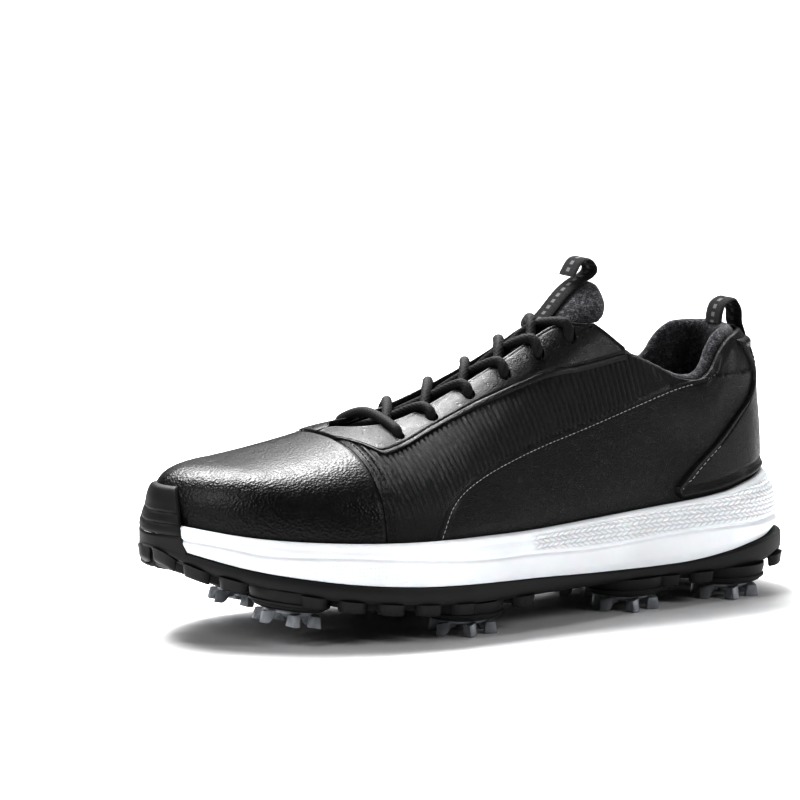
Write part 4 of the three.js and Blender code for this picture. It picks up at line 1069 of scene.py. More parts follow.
def insole():
    """Cushioned insole: a raised rim that cups the foot, under a knitted cover."""
    inset = UPPER_INSET + LEATHER + 3 * GAP + 3.4
    stations = np.r_[np.linspace(-1, 0, 50), np.linspace(0, 1, 120)[1:], np.linspace(1, 2, 50)[1:]]
    ring = []
    for station in stations:
        ends = [np.array(edge_point(station, side, inset + lean(edge_point(station, side, 0)[0])))
                for side in (LATERAL, MEDIAL)]
        share = (1 - np.cos(np.linspace(0, np.pi, 41))) / 2
        line = ends[0] + (ends[1] - ends[0]) * share[:, None]
        width = np.linalg.norm(ends[1] - ends[0])
        edge = np.minimum(share, 1 - share) * width
        low = footbed(edge_point(station, LATERAL, 0)[0]) + BOARD_THICKNESS + GAP
        rim = smooth(9, 1, edge) * 2.4 * smooth(-0.6, 0.2, station)
        drop = (1 - np.sqrt(np.clip(1 - (1 - np.clip(edge / 1.5, 0, 1)) ** 2, 0, 1))) * 1.6
        ring.append(np.stack([line[:, 0], line[:, 1], low + INSOLE_THICKNESS + rim - drop], -1))
    top = np.stack(ring)
    under = top.copy()
    under[..., 2] = footbed(top[..., 0]) + BOARD_THICKNESS + GAP
    points, faces = shell(top, under)
    make_piece("insole_cushion", points, faces, KNIT, replaces=["insole"], merge=0.004,
               angle=40)


# ---------------------------------------------------------------- tongue, webbing and heel loop
def cross_point(x, offset, depth):
    """Point at a signed distance across from the ridge."""
    side = LATERAL if offset < 0 else MEDIAL
    station = station_of(x)
    rise = 1.0 if abs(offset) < 0.01 else float(rise_at_offset(station, side, abs(offset)))
    return upper_point(station, rise, side, depth)


def cross_points(xs, offsets, depths):
    """Points at signed distances across from the ridge, all at once."""
    stations = station_of(xs)
    apart = np.maximum(np.abs(offsets), 0.02)
    lateral, medial = (upper_point(stations, rise_at_offset(stations, side, apart), side, depths)
                       for side in (LATERAL, MEDIAL))
    return np.where((offsets < 0)[:, None], lateral, medial)


tongue_depth = curve([(-63, 7.1), (30, 7.1), (38, 5.2), (44, 2.4), (52, 0.6), (61, 1.4)])
tongue_thickness = curve([(-63, 3.4), (20, 4.4), (40, 6), (50, 8.5), (61, 8)])
tongue_half = curve([(-63, 20), (-40, 23), (20, 23), (36, 18), (43, 16), (49, 17.4), (56, 19), (61, 16.5)])
TONGUE_TIP_X = 61.0


def tongue():
    """Padded tongue: one felt pad that runs under the laces and flares at the top."""
    xs = np.r_[np.linspace(-63, 30, 60), np.linspace(30, TONGUE_TIP_X, 36)[1:]]
    turn = np.linspace(0, 2 * np.pi, 44, endpoint=False)
    rows = []
    for x in xs:
        half, thick = float(tongue_half(x)), float(tongue_thickness(x)) / 2
        end = np.sqrt(max(1 - smooth(TONGUE_TIP_X - 3.5, TONGUE_TIP_X + 0.01, x) ** 2, 0.04))
        across = np.sign(np.cos(turn)) * np.abs(np.cos(turn)) ** 0.55 * half * (0.9 + 0.1 * end)
        upward = np.sign(np.sin(turn)) * np.abs(np.sin(turn)) ** 0.8
        depth = float(tongue_depth(x)) + thick - upward * thick * end
        rows.append(cross_points(np.full(len(turn), x), across, depth))
    grid = np.array(rows)
    count, around = grid.shape[:2]
    obj = make_piece("tongue_pad", grid.reshape(-1, 3), capped_faces(count, around), FELT, body=None, angle=0)
    plump(obj, voxel=2.2, pressure=2.5, pin=lambda p: p[:, 0] < 30)
    finish_piece(obj, FELT, None, ["tongue", "tongue_top"], 0)
    bpy.ops.object.shade_smooth()
    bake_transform(obj)


WEBBING_WIDTH = 13.0
WEAVE_HEIGHT = 0.12
TONGUE_LOOP_TOP = 149.2


def strap(line, thickness):
    """Woven strap along a line in the XZ plane, with selvedges and cross ribs; uv in millimetres."""
    line = resample(rounded([(x, 0, z) for x, z in line], 3), 0.45)
    tangent = np.gradient(line, axis=0)
    tangent /= np.linalg.norm(tangent, axis=1)[:, None]
    out = np.stack([-tangent[:, 2], 0 * tangent[:, 0], tangent[:, 0]], -1)
    run = run_along(line)
    across = np.linspace(-1, 1, 31)
    bulge = thickness / 2 * np.clip(1 - np.abs(across) ** 10, 0.12, 1)
    ends = np.sin(across * WEBBING_WIDTH / 1.8 * math.tau)
    weave = WEAVE_HEIGHT * np.sin(run / 1.1 * math.tau)[:, None] * ends[None, :]
    top = line[:, None] + out[:, None] * (bulge[None, :] + weave)[..., None]
    low = line[:, None] - out[:, None] * (bulge[None, :] - weave)[..., None]
    for layer in (top, low):
        layer[..., 1] += across * WEBBING_WIDTH / 2
    points, faces = shell(top, low)
    uv = np.stack(np.meshgrid(run, across * WEBBING_WIDTH / 2, indexing="ij"), -1).reshape(-1, 2)
    return points, faces, np.concatenate([uv, uv])


def tongue_webbing():
    """Striped strap sewn down the tongue's middle, looped at its top."""
    lower = [(x, cross_point(x, 0, float(tongue_depth(x)))[2] + 0.9)
             for x in (-50, -36, -22, -8, 8, 22, 32, 38, 42)]
    sewn_depth = curve([(44, 2.2), (52, 0.6), (61, 1.5)])
    upper = [(x, cross_point(x, 0, float(sewn_depth(x)))[2] + GAP + 0.9)
             for x in (46, 48.9, 51.75, 54.6, 57.5)]
    last = upper[-1][1]
    loop = [(60.4, last + 2.2), (60.2, last + 5), (57.4, TONGUE_LOOP_TOP), (53.4, TONGUE_LOOP_TOP - 0.3),
            (50.6, last + 4), (49, last + 1)]
    points, faces, uv = strap(lower + upper + loop, 1.4)
    obj = make_piece("tongue_strap", points, faces, WEBBING, body=None,
                     replaces=["tongue_webbing"], uv=uv, angle=45)
    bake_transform(obj)


PULL_LOOP_FOOT, PULL_LOOP_TOP, PULL_LOOP_X = 104.0, 127.2, 130.5


def heel_loop():
    """Pull loop that stands behind the heel overlay and bends over into the collar."""
    outside = -(0.8 + GAP + 1.3 + 0.7 + 0.2)

    def back(z):
        return float(heel_point(2.0, MEDIAL, np.array([z]), outside)[0, 0])
    line = [(back(z) + 0.3, z) for z in np.linspace(PULL_LOOP_FOOT, 117, 5)]
    line += [(back(117) + 0.6, 122), (back(117) - 1.6, 125.8), (PULL_LOOP_X, PULL_LOOP_TOP),
             (PULL_LOOP_X - 4.8, 125.4), (PULL_LOOP_X - 6.6, 121.4), (PULL_LOOP_X - 7.2, 116.5)]
    points, faces, uv = strap(line, 1.5)
    make_piece("heel_loop_strap", points, faces, WEBBING, replaces=["heel_pull_loop"], uv=uv,
               angle=45)


# ---------------------------------------------------------------- lace
# Depths of the lace's centre below the leather's face, or above it where negative.
OVER = -2.4
UNDER = 2 * LACE_BEND + OVER
CROSS_OVER, CROSS_UNDER = -0.8, 3.3
TAIL_SPREAD = 5.0         # how far outside its hole each tucked end lies
BRAID_TURN = 9.0          # length in which a yarn goes once round the lace
BRAID_HEIGHT = 0.42


def turn_through(x, side, downwards):
    """Half turn of the lace through a hole, from above the leather to below it or back."""
    points = []
    for t in np.linspace(0, 1, 5):
        angle = math.pi / 2 - math.pi * t
        offset = hole_offset(x, side) - LACE_BEND + LACE_BEND * math.cos(angle)
        points.append(cross_point(x, side * offset, OVER + LACE_BEND - LACE_BEND * math.sin(angle)))
    return points if downwards else points[::-1]


def crossing(n, side, centre_depth):
    """The lace's way from under one eyestay, over the tongue, to the next hole on the other side."""
    start, stop = HOLE_X[n], HOLE_X[n + 1]
    return [cross_point(start + 1.5, side * (float(throat_half(start)) - 0.8), UNDER),
            cross_point((start + stop) / 2, 0, centre_depth),
            cross_point(stop - 1.5, -side * (float(throat_half(stop)) + 0.5), OVER - 0.3)]


def strand(side, depths):
    """Half of the lace, from the lowest hole of one side up to its tucked end."""
    points = []
    last = len(HOLE_X) - 1
    for n in range(last):
        points += crossing(n, side, depths[n % 2])
        side = -side
        if n + 1 < last:
            points += turn_through(HOLE_X[n + 1], side, True)
    x, hole = HOLE_X[last], hole_offset(HOLE_X[last], side)
    tail = [(x, hole - 2.2, OVER + 0.6), (x, hole, 0.8), (x - 1, hole + 1.6, 3.6),
            (x - 5, hole + TAIL_SPREAD, 4.5), (x - 16, hole + TAIL_SPREAD, 4.5),
            (x - 26, hole + TAIL_SPREAD + 0.3, 4.5)]
    return points + [cross_point(px, side * offset, depth) for px, offset, depth in tail]


def lace():
    """Braided round lace: two sets of eight yarns wound opposite ways over each other."""
    one = strand(LATERAL, [CROSS_OVER, CROSS_UNDER])
    other = strand(MEDIAL, [CROSS_UNDER, CROSS_OVER])
    bar = (turn_through(HOLE_X[0], LATERAL, False) + [cross_point(HOLE_X[0], -6, OVER - 0.2),
           cross_point(HOLE_X[0], 6, OVER - 0.2)] + turn_through(HOLE_X[0], MEDIAL, True))
    path = resample(rounded(one[::-1] + bar + other, 2), 0.36)
    turn = np.linspace(0, 2 * np.pi, 32, endpoint=False)
    wind = run_along(path)[:, None] / BRAID_TURN * math.tau
    right = np.abs(np.sin((turn[None, :] * 8 + wind * 4) / 2))
    left = np.abs(np.sin((turn[None, :] * 8 - wind * 4) / 2))
    braid = BRAID_HEIGHT * (np.maximum(right, left) ** 1.5 - 0.65)
    points, faces, uv = tube(path, LACE_RADIUS + 0.2 + braid, 32)
    make_piece("lace_braid", points, faces, BRAID, replaces=["lace"], uv=uv, angle=70)


# ---------------------------------------------------------------- midsole
SOLE_STATIONS = np.r_[np.linspace(-1, 0, 120), np.linspace(0, 1, 260)[1:], np.linspace(1, 2, 120)[1:]]
groove_height = curve([(-142, 44.6), (-130, 42.4), (-117, 39.7), (-86, 38.2), (-28, 33.2), (-2, 32.3),
                       (41, 30.5), (95, 32.8), (134, 32.9), (150, 33.4)])


def wall_point(station, side, inset, height):
    """Point on the sole's wall, leaning in at the heel as the CAD wall does."""
    ex, _ = edge_point(station, side, 0)
    x, y = edge_point(station, side, inset + lean(ex) * np.clip(inset / RIM_INSET, 0, 1))
    return np.stack([x, y, height + 0 * x], -1)


def midsole_wall(side):
    """Foam wall along one side: a profile at each station, from the outsole up, over the rim into the cup."""
    ex = edge_point(SOLE_STATIONS, side, 0)[0][:, None]
    low, high, groove = plate_top(ex) + GAP, midsole_top(ex), groove_height(ex)
    shares = np.linspace(0, 0.95, 74)[None, :]
    z = lerp(low, high, shares)
    inset = np.interp(shares, [0, 0.12, 0.4, 0.7, 0.95], [1.0, 0.4, 0.2, 0.5, RIM_INSET])
    inset = inset + 0.9 * np.exp(-((z - groove) / 0.75) ** 2)
    inset = inset + 0.25 * smooth(0, 2.0, z - groove) * (1 - smooth(0.8, 0.9, shares))
    turn = np.linspace(0.15, 1, 6)[None, :]
    over_inset = RIM_INSET + turn * 1.6 + 0 * ex
    over_z = high - 0.05 * (high - low) * (1 - np.sin(turn * math.pi / 2))
    cup_inset = np.full((len(ex), 2), UPPER_INSET - 0.6)
    cup_z = np.concatenate([high - 0.2, footbed(ex) - GAP], axis=1)
    inset = np.concatenate([inset, over_inset, cup_inset], axis=1)
    z = np.concatenate([z, over_z, cup_z], axis=1)
    grid = wall_point(SOLE_STATIONS[:, None] + 0 * z, side, inset, z)
    start = 0.0 if side == LATERAL else 400.0
    run = start + run_along(grid[:, 30])[:, None] + 0 * z
    above = z - groove
    band = smooth(1.0, 2.0, above) * (1 - smooth(-2.6, -1.4, z - high))
    knit = band * smooth(0, 8, ex)
    dots = smooth(-1.2, -2.5, above) * smooth(0.5, 2.0, z - low) * smooth(-20, -60, ex)
    layers = [grid, np.stack([run, z], -1), knit, dots]
    return layers if side == LATERAL else [layer[:, ::-1] for layer in layers]


def midsole():
    """Foam cup, with masks that say where its knit relief with its painted groove shade and its dots are."""
    lateral, medial = midsole_wall(LATERAL), midsole_wall(MEDIAL)
    grid, uv, knit, dots = (np.concatenate(pair, axis=1) for pair in zip(lateral, medial))
    count, around = grid.shape[:2]
    faces = grid_faces(count, around, loop_columns=True)
    obj = make_piece("midsole_foam", grid.reshape(-1, 3), faces, FOAM,
                     uv=uv.reshape(-1, 2), replaces=["midsole"], angle=50)
    for name, values in (("knit", knit), ("dots", dots)):
        layer = obj.data.attributes.new(name, "FLOAT", "POINT")
        layer.data.foreach_set("value", values.ravel().astype(np.float32))


# ---------------------------------------------------------------- outsole
TREAD_DEPTH = 2.8         # from the lugs' faces up to the plate between them
LATTICE_ROW = 8.4         # from one row of diamond lugs to the next, along the sole
LATTICE_PITCH = 15.0      # from one diamond lug to the next, across the sole
EDGE_PITCH = 17.0         # from one edge lug to the next, along the edge


def plate_low(x):
    """Height of the plate's underside between the lugs."""
    return plate_bottom(x) + TREAD_DEPTH


def outsole_plate():
    """Thin rubber plate with a rounded edge that stands a little proud of the foam."""
    ex = edge_point(SOLE_STATIONS, LATERAL, 0)[0][:, None]
    low, high = plate_low(ex), plate_top(ex)
    insets = np.array([3.2, 1.6, 0.6, 0.0, -0.2, 0.0, 0.5])[None, :] + 0 * ex
    z = np.concatenate([low, low + 0.25, low + 0.9, lerp(low, high, 0.3), lerp(low, high, 0.6),
                        lerp(low, high, 0.9), high], axis=1)
    at = SOLE_STATIONS[:, None] + 0 * z
    lateral, medial = wall_point(at, LATERAL, insets, z), wall_point(at, MEDIAL, insets, z)[:, ::-1]
    share = np.linspace(0, 1, 22)[None, 1:-1, None]
    middle = []
    for a, b, flat in ((lateral[:, -1:], medial[:, :1], plate_top),
                       (medial[:, -1:], lateral[:, :1], plate_low)):
        line = a + (b - a) * share
        line[..., 2] = line[..., 2] * 0.4 + flat(line[..., 0]) * 0.6
        middle.append(line)
    grid = np.concatenate([lateral, middle[0], medial, middle[1]], axis=1)
    count, around = grid.shape[:2]
    faces = grid_faces(count, around, loop_columns=True)
    return grid.reshape(-1, 3), faces


def lug(outline, drop=0.0, chamfer=0.7, embed=0.8):
    """Tread lug from a plan outline: a prism with a chamfered face, following the plate's curve."""
    outline = np.asarray(outline, float)
    area = np.sum(outline[:, 0] * np.roll(outline[:, 1], -1) - np.roll(outline[:, 0], -1) * outline[:, 1])
    if area < 0:
        outline = outline[::-1]
    n = len(outline)
    edge = np.roll(outline, -1, axis=0) - outline
    normal = np.stack([edge[:, 1], -edge[:, 0]], -1)
    normal /= np.linalg.norm(normal, axis=1)[:, None] + 1e-9
    corner = normal + np.roll(normal, 1, axis=0)
    corner /= np.maximum(np.sum(corner * corner, axis=1), 1.1)[:, None] / 2
    rings = []
    for inset, level in ((-0.5, -1), (0.0, 0.35), (0.12, 0.8), (chamfer * 0.45, 0.95), (chamfer, 1.0)):
        flat = outline - corner * inset
        top = plate_low(flat[:, 0]) + embed
        face = plate_bottom(flat[:, 0]) - 0.2 - drop
        z = top if level < 0 else lerp(top - embed, face, level)
        rings.append(np.stack([flat[:, 0], flat[:, 1], z], -1))
    points = np.concatenate(rings)
    return points, capped_faces(len(rings), n)


def round_corners(outline, amount, passes):
    """Corner-cut version of a closed outline."""
    outline = np.asarray(outline, float)
    for _ in range(passes):
        after = np.roll(outline, -1, axis=0)
        outline = np.stack([outline * (1 - amount) + after * amount, outline * amount + after * (1 - amount)],
                           1).reshape(-1, 2)
    return outline


def clear_of_pods(x, y, margin):
    """Whether a place is at least a margin outside every cleat pod."""
    return all(math.hypot(x - cx, y - cy) > POD_RADIUS + margin for _, cx, cy, _, _ in CLEATS)


def edge_margin(x, y):
    """Distance inside the sole's outline; across the sole between the toe and heel ends."""
    if x < TOE_CAP_X or x > HEEL_CUP_X:
        pts = np.array(OUTLINE, float)
        a, b = pts, np.roll(pts, -1, axis=0)
        t = np.clip(np.sum((np.array([x, y]) - a) * (b - a), axis=1) / np.sum((b - a) ** 2, axis=1), 0, 1)
        near = np.linalg.norm(a + (b - a) * t[:, None] - [x, y], axis=1).min()
        crosses = (a[:, 1] > y) != (b[:, 1] > y)
        hits = a[:, 0] + (y - a[:, 1]) / np.where(crosses, b[:, 1] - a[:, 1], 1) * (b[:, 0] - a[:, 0])
        inside = int(np.sum(crosses & (x < hits))) % 2 == 1
        return near if inside else -near
    low, high = (float(edge_point(station_of(x), side, 0)[1]) for side in (LATERAL, MEDIAL))
    return min(y - low, high - y)


def lattice_lugs():
    """Diamond lugs in staggered rows under the forefoot and the rear of the arch."""
    parts = []
    for x_from, x_to in ((-128, 0), (66, 134)):
        for i in range(int((x_to - x_from) / LATTICE_ROW)):
            x = x_from + LATTICE_ROW * (i + 0.5)
            for j in range(-8, 9):
                y = j * LATTICE_PITCH + (LATTICE_PITCH / 2 if i % 2 else 0) + 1.0
                if edge_margin(x, y) < 15 or not clear_of_pods(x, y, 4.8):
                    continue
                diamond = [(x - 6.6, y), (x, y - 6.2), (x + 6.6, y), (x, y + 6.2)]
                parts.append(lug(round_corners(diamond, 0.14, 2), drop=-0.5))
                inner = [(x - 3.3, y), (x, y - 3.0), (x + 3.3, y), (x, y + 3.0)]
                parts.append(lug(round_corners(inner, 0.14, 1), drop=0.15, chamfer=0.5))
    return parts


def boomerang(centre, heading, size, thickness, spread=1.05):
    """The two arms of a V-shaped lug whose point faces along heading."""
    c, s = math.cos(heading), math.sin(heading)
    tip, tail, reach = size * 0.55, -size * 0.45, size * spread
    arms = []
    for hand in (-1, 1):
        arm = [(tip, -0.4 * hand), (tip, 0), (tail, hand * reach),
               (tail - thickness, hand * (reach - thickness * 0.3)), (tip - thickness * 1.5, -0.4 * hand)]
        arms.append([(centre[0] + c * u - s * v, centre[1] + s * u + c * v) for u, v in arm])
    return arms


def edge_lugs():
    """Boomerang lugs along both edges of the forefoot and the heel, points outwards, with a block outside."""
    parts = []
    for start, stop in ((-0.98, 0.62), (0.92, 1.98)):
        for side in (LATERAL, MEDIAL):
            fine = np.linspace(start, stop, 600)
            ex, ey = edge_point(fine, side, 0)
            run = np.r_[0, np.cumsum(np.hypot(np.diff(ex), np.diff(ey)))]
            for at in np.arange(8, run[-1] - 4, EDGE_PITCH):
                station = float(np.interp(at, run, fine))
                outer = np.array(edge_point(station, side, 3.2))
                deep = np.array(edge_point(station, side, 9.2))
                heading = math.atan2(*(outer - deep)[::-1])
                if clear_of_pods(deep[0], deep[1], 4.0):
                    for arm in boomerang(deep, heading, 8.2, 3.6):
                        parts.append(lug(round_corners(arm, 0.1, 2), drop=0.1))
                if clear_of_pods(outer[0], outer[1], -2.0):
                    c, s = math.cos(heading), math.sin(heading)
                    block = [outer + np.array([c, s]) * u + np.array([-s, c]) * v
                             for u, v in ((3.3, -4.2), (3.9, 0), (3.3, 4.2),
                                         (-0.6, 6.8), (-0.9, 0), (-0.6, -6.8))]
                    parts.append(lug(round_corners(block, 0.2, 3), drop=1.1, chamfer=1.1))
    return parts


def waist_plate():
    """Raised border of the smooth panel under the waist, and the oblique ridges in front of the heel."""
    length, width, thick = 46, 15, 1.6
    (x, y), turn = (24, -6), 0.05
    c, s = math.cos(turn), math.sin(turn)
    parts = []
    for sign_u, sign_v, du, dv in ((0, 1, length, thick), (0, -1, length, thick),
                                   (1, 0, thick, width), (-1, 0, thick, width)):
        cu, cv = sign_u * (length - thick) / 2, sign_v * (width - thick) / 2
        box = [(cu - du / 2, cv - dv / 2), (cu + du / 2, cv - dv / 2), (cu + du / 2, cv + dv / 2),
               (cu - du / 2, cv + dv / 2)]
        turned = [(x + c * u - s * v, y + s * u + c * v) for u, v in box]
        parts.append(lug(round_corners(turned, 0.1, 2), drop=-1.4, chamfer=0.4))
    for shift in (0, 6.5):
        bar = [(84 + shift, -33), (87.4 + shift, -33), (97.4 + shift, 30), (94 + shift, 30)]
        parts.append(lug(round_corners(bar, 0.06, 2), drop=-0.6, chamfer=0.6))
    return parts


def pod(cleat):
    """Raised round seat of a cleat: a domed flank with two rings and a knurled foot."""
    profile = [(POD_RADIUS, 8.0), (POD_RADIUS, 6.2), (POD_RADIUS - 0.5, 4.6), (POD_RADIUS - 0.7, 3.6),
               (POD_RADIUS - 0.1, 3.1), (POD_RADIUS - 0.3, 2.2), (POD_RADIUS - 1.3, 1.6),
               (POD_RADIUS - 1.9, 1.5), (POD_RADIUS - 2.1, 0.9), (POD_RADIUS - 3.1, 0.35),
               (POD_RADIUS - 4.2, 0.25), (INSERT_RADIUS + 5.0, 0.05), (INSERT_RADIUS + 4.4, -0.15),
               (INSERT_RADIUS + 2.6, -0.1), (INSERT_RADIUS + 2.2, 0.3), (INSERT_RADIUS + 1.2, 0.3),
               (INSERT_RADIUS + 0.6, 0.1), (INSERT_RADIUS + 0.6, 6.1), (0.02, 6.1)]
    sides = 72
    turn = np.linspace(0, 2 * np.pi, sides, endpoint=False)
    rings = []
    for i, (radius, z) in enumerate(profile):
        knurl = 0.28 * (np.arange(sides) % 2) if 3 <= i <= 5 else 0
        rings.append(np.stack([np.cos(turn) * (radius - knurl), np.sin(turn) * (radius - knurl),
                               np.full(sides, z)], -1))
    points = np.concatenate(rings)
    faces = [list(f) for f in grid_faces(len(profile), sides, loop_columns=True)]
    faces += [list(range(sides)), [(len(profile) - 1) * sides + k for k in range(sides)][::-1]]
    return seat_points(points, cleat), faces


def seat_points(points, cleat):
    """Points in a cleat's own frame, moved to its seat on the sole."""
    _, cx, cy, cz, tilt = cleat
    a = math.radians(tilt)
    x, y, z = np.asarray(points, float).T
    c, s = math.cos(a), math.sin(a)
    return np.stack([x * c + z * s + cx, y + cy, -x * s + z * c + cz], -1)


BUMPER_END = -0.64        # station of its rear edge
BUMPER_TOP = 66.0
BUMPER_GROOVES = (46.5, 51.0, 55.5)


def bumper():
    """Toe bumper: rubber drawn up over the toe, with three shallow grooves and a rolled top edge."""
    half = np.linspace(BUMPER_END, -1, 90)
    ring = [(s, LATERAL) for s in half] + [(s, MEDIAL) for s in half[::-1][1:]]
    levels = np.linspace(0, 1, 70)
    outer, inner = [], []
    for station, side in ring:
        ex = float(edge_point(station, side, 0)[0])
        rise_share = 1 - smooth(0.55, 1.0, (station + 1) / (1 + BUMPER_END))
        top = lerp(float(plate_top(ex)) + 1.5, BUMPER_TOP, rise_share)
        low = float(plate_top(ex)) - 2
        z = lerp(low, top, levels)
        rise = rise_at_height(np.full(len(z), station), side, z)
        hug = smooth(47, 58, z)
        from_top = top - z
        roll = 1 - np.sqrt(np.clip(1 - (1 - np.clip(from_top / 1.6, 0, 1)) ** 2, 0, 1))
        grooves = sum(np.exp(-((z - mark) / 0.55) ** 2) for mark in BUMPER_GROOVES) * 0.55
        side_edge = min(1.0, abs(station - BUMPER_END) * 60)
        depth = 1.9 * (1 - side_edge) + grooves * rise_share + 1.6 * roll
        for layer, offset in ((outer, depth), (inner, np.full(len(z), 2.0))):
            wx, wy = edge_point(np.full(len(z), station), side, offset)
            skin = upper_point(station, rise, side, offset - 2.6)
            layer.append(np.stack([lerp(wx, skin[:, 0], hug), lerp(wy, skin[:, 1], hug), z], -1))
    return shell(np.stack(outer), np.stack(inner))


def outsole():
    """The rubber plate with its bumper, lugs and cleat pods, as one piece."""
    parts = [outsole_plate(), bumper()]
    parts += lattice_lugs() + edge_lugs() + waist_plate()
    parts += [pod(cleat) for cleat in CLEATS]
    points, faces = join_parts(parts)
    make_piece("outsole_rubber", points, faces, RUBBER, replaces=["outsole"], angle=35)


# ---------------------------------------------------------------- cleats
def cleat_master():
    """One soft cleat in its own frame, pod face at Z = 0, legs down: six pinwheel ribs with splayed blades."""
    bpy.ops.mesh.primitive_cylinder_add(vertices=72, radius=10.6 * MM, depth=1.3 * MM,
                                        location=(0, 0, -0.95 * MM))
    disc = bpy.context.object
    select_only(disc)
    bpy.ops.object.mode_set(mode="EDIT")
    bpy.ops.mesh.select_all(action="SELECT")
    bpy.ops.mesh.bevel(offset=0.35 * MM, segments=2)
    bpy.ops.object.mode_set(mode="OBJECT")
    bpy.ops.object.transform_apply(location=True)
    parts = []
    profile = [(5.2, 3.9), (5.2, -0.8), (6.2, -2.0), (5.6, -2.7), (3.4, -3.1), (2.6, -3.6), (0.05, -3.7)]
    turn = np.linspace(0, 2 * np.pi, 48, endpoint=False)
    rings = [np.stack([np.cos(turn) * (r if z < 3.9 else r - 0.4), np.sin(turn) * (r if z < 3.9 else r - 0.4),
                       np.full(48, z)], -1) for r, z in profile]
    faces = [list(f) for f in grid_faces(len(rings), 48, loop_columns=True)]
    faces += [list(range(48)), [(len(rings) - 1) * 48 + k for k in range(48)][::-1]]
    parts.append((np.concatenate(rings), faces))
    for k in range(6):
        base = math.tau * k / 6
        shares = np.linspace(0, 1, 21)
        radii = 2.2 + (CLEAT_RADIUS - 2.2) * shares
        sway = base + 0.62 * np.sin(shares * math.pi * 0.9) * (1 - 0.25 * shares)
        centres = np.stack([np.cos(sway), np.sin(sway)], -1) * radii[:, None]
        along = np.gradient(centres, axis=0)
        along /= np.linalg.norm(along, axis=1)[:, None]
        sides = np.stack([-along[:, 1], along[:, 0]], -1)
        blade = smooth(0.66, 0.86, shares)
        low = lerp(-3.3 - 0.6 * shares, -CLEAT_HEIGHT, blade)
        high = -1.0 - 0.8 * smooth(0.8, 1.0, shares)
        top_half = 1.25 + 0.65 * smooth(0.5, 0.9, shares)
        low_half = lerp(0.6, 2.75, blade)
        rings = []
        for centre, side, z0, z1, wide, narrow in zip(centres, sides, high, low, top_half, low_half):
            corners = [(-wide, z0), (wide, z0), (lerp(wide, narrow, 0.5), lerp(z0, z1, 0.5)),
                       (narrow, z1 + 0.3), (narrow - 0.3, z1), (0.3 - narrow, z1), (-narrow, z1 + 0.3),
                       (-lerp(wide, narrow, 0.5), lerp(z0, z1, 0.5))]
            rings.append([[*(centre + side * u), z] for u, z in corners])
        rings = np.array(rings)
        parts.append((rings.reshape(-1, 3), capped_faces(*rings.shape[:2])))
    points, faces = join_parts(parts)
    mesh = bpy.data.meshes.new("cleat_ribs")
    mesh.from_pydata((points * MM).tolist(), [], faces)
    ribs = bpy.data.objects.new("cleat_ribs", mesh)
    bpy.context.scene.collection.objects.link(ribs)
    select_only(ribs)
    bpy.ops.object.mode_set(mode="EDIT")
    bpy.ops.mesh.select_all(action="SELECT")
    bpy.ops.mesh.normals_make_consistent(inside=False)
    bpy.ops.object.mode_set(mode="OBJECT")
    holes = []
    for sign in (-1, 1):
        bpy.ops.mesh.primitive_cylinder_add(vertices=20, radius=1.15 * MM, depth=6 * MM,
                                            location=(sign * 6.4 * MM, sign * 1.0 * MM, -3.4 * MM))
        holes.append(bpy.context.object)
    body = disc
    join = body.modifiers.new("join", "BOOLEAN")
    join.object, join.operation, join.solver = ribs, "UNION", "EXACT"
    join.use_self = True
    select_only(body)
    bpy.ops.object.modifier_apply(modifier=join.name)
    for hole in holes:
        cut = body.modifiers.new("cut", "BOOLEAN")
        cut.object, cut.operation, cut.solver = hole, "DIFFERENCE", "EXACT"
        select_only(body)
        bpy.ops.object.modifier_apply(modifier=cut.name)
        bpy.data.objects.remove(hole)
    bpy.data.objects.remove(ribs)
    soften = body.modifiers.new("soften", "BEVEL")
    soften.width, soften.segments, soften.limit_method = 0.16 * MM, 2, "ANGLE"
    soften.angle_limit = math.radians(32)
    select_only(body)
    bpy.ops.object.modifier_apply(modifier=soften.name)
    return body


def cleats():
    """Eight copies of the cleat, each at its seat."""
    master = cleat_master()
    for name, cx, cy, cz, tilt in CLEATS:
        copy = master.copy()
        copy.data = master.data.copy()
        copy.name = f"cleat_soft_{name}"
        bpy.context.scene.collection.objects.link(copy)
        place = (Matrix.Translation(Vector((cx, cy + WIDTH_SHIFT, cz)) * MM)
                 @ Matrix.Rotation(math.radians(tilt), 4, "Y"))
        copy.data.transform(place)
        finish_piece(copy, CLEAT_GREY, f"cleat_{name}", [f"cleat_{name}"], 32)
    bpy.data.objects.remove(master)


# ---------------------------------------------------------------- CAD pieces that keep their shape
def dress_cad_nodes():
    """Materials of the CAD parts that show as they are."""
    looks = {"shank_plate": BLACK_NYLON, "strobel_board": BOARD, "toe_puff": BOARD,
             "lace_tip_lateral": BLACK_NYLON, "lace_tip_medial": BLACK_NYLON}
    looks.update({f"insert_{cleat[0]}": BLACK_NYLON for cleat in CLEATS})
    for node, material in looks.items():
        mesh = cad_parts[node].data
        mesh.materials.clear()
        mesh.materials.append(material)


# ---------------------------------------------------------------- studio
CAMERA_AZIMUTH = -29.55
CAMERA_ELEVATION = 9.0
CAMERA_DISTANCE = 2517.0
CAMERA_LENS = 264.0       # millimetres on a 36 mm sensor
CAMERA_ROLL = -0.38
CAMERA_SHIFT = (-0.0866, 0.1059)
AIM_HEIGHT = 55.0


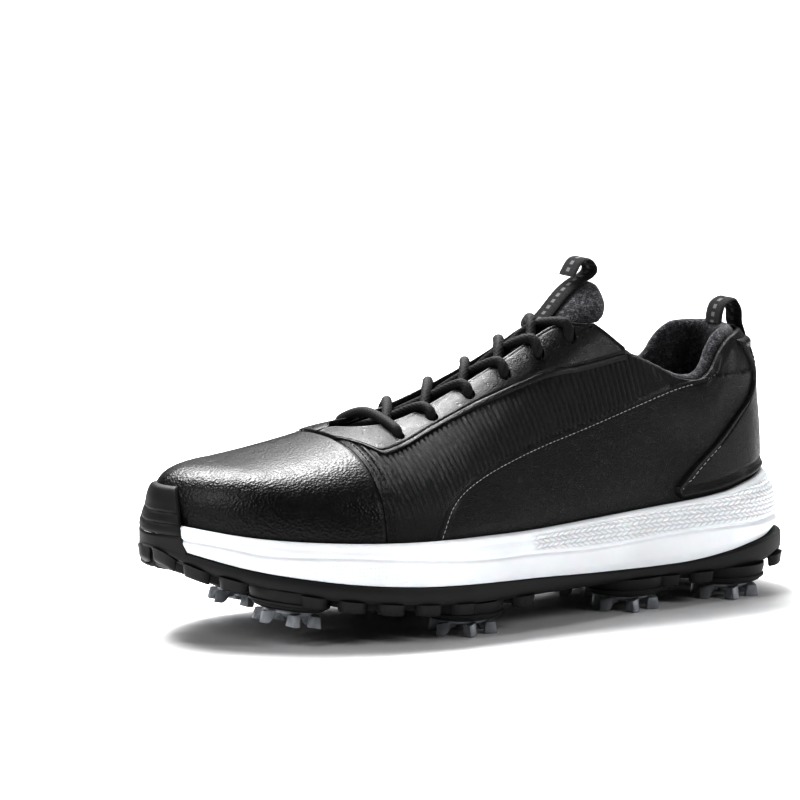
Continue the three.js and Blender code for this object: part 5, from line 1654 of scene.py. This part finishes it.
def studio():
    """Camera, paper floor, softboxes and a dim even sky."""
    a, e = math.radians(CAMERA_AZIMUTH), math.radians(CAMERA_ELEVATION)
    back = np.array([math.sin(a) * math.cos(e), -math.cos(a) * math.cos(e), math.sin(e)])
    right = np.array([math.cos(a), math.sin(a), 0.0])
    up = np.cross(back, right)
    roll = math.radians(CAMERA_ROLL)
    right, up = (math.cos(roll) * right + math.sin(roll) * up, -math.sin(roll) * right + math.cos(roll) * up)
    eye = np.array([0, WIDTH_SHIFT, AIM_HEIGHT]) + back * CAMERA_DISTANCE
    camera = bpy.data.objects.new("camera", bpy.data.cameras.new("camera"))
    bpy.context.scene.collection.objects.link(camera)
    axes = Matrix(np.stack([right, up, back], 1).tolist()).to_4x4()
    camera.matrix_world = Matrix.Translation(Vector(eye * MM)) @ axes
    camera.data.lens, camera.data.sensor_width = CAMERA_LENS, 36.0
    camera.data.shift_x, camera.data.shift_y = CAMERA_SHIFT
    camera.data.clip_start, camera.data.clip_end = 0.05, 50
    bpy.context.scene.camera = camera

    bpy.ops.mesh.primitive_plane_add(size=12, location=(0, 0, -0.0002))
    floor = bpy.context.object
    floor.name = "studio_floor"
    card = Finish("paper_backdrop_white", Roughness=0.5, IOR=1.45)
    paper = card.add("TexNoise", Vector=card.place, Scale=60.0, Detail=3.0)
    tone = card.add("ValToRGB", paper, stops=[(0.3, "#f4f4f5"), (0.7, "#fbfbfb")])
    floor.data.materials.append(card.wear(Base_Color=tone))

    def softbox(name, place, aim, width, height, power):
        light = bpy.data.lights.new(name, "AREA")
        light.shape, light.size, light.size_y, light.energy = "RECTANGLE", width, height, power
        lamp = bpy.data.objects.new(name, light)
        bpy.context.scene.collection.objects.link(lamp)
        lamp.location = place
        lamp.rotation_euler = (Vector(place) - Vector(aim)).to_track_quat("Z", "Y").to_euler()

    softbox("top_box", (-0.1, 0.45, 1.0), (-0.03, 0, 0.06), 0.8, 0.4, 24)
    softbox("front_strip", (-1.1, -0.25, 0.7), (-0.05, 0, 0.06), 0.16, 0.7, 6)
    softbox("side_window", (0.45, -1.0, 0.75), (0.08, 0, 0.07), 0.1, 0.5, 5)
    softbox("rear_strip", (1.15, -0.5, 0.32), (0.1, 0, 0.07), 0.1, 0.5, 2.8)
    softbox("backdrop_box", (1.3, 2.3, 2.2), (1.3, 2.3, 0), 4.0, 3.2, 190)
    world = bpy.data.worlds.new("studio_air")
    world.use_nodes = True
    shade = world.node_tree.nodes["Background"]
    shade.inputs["Color"].default_value = (1, 1, 1, 1)
    shade.inputs["Strength"].default_value = 0.12
    bpy.context.scene.world = world
    bpy.context.scene.view_settings.view_transform = "Standard"
    bpy.context.scene.view_settings.gamma = 0.68


# ---------------------------------------------------------------- the shoe
vamp()
for side_name, side_sign in SIDES.items():
    quarter(side_name, side_sign)
    swoosh_stitches(side_name, side_sign)
    seam_stitches(side_name, side_sign)
    eyestay(side_name, side_sign)
heel_overlay()
heel_counter()
collar_lining()
inner_linings()
insole()
tongue()
tongue_webbing()
heel_loop()
lace()
midsole()
outsole()
cleats()
dress_cad_nodes()
studio()
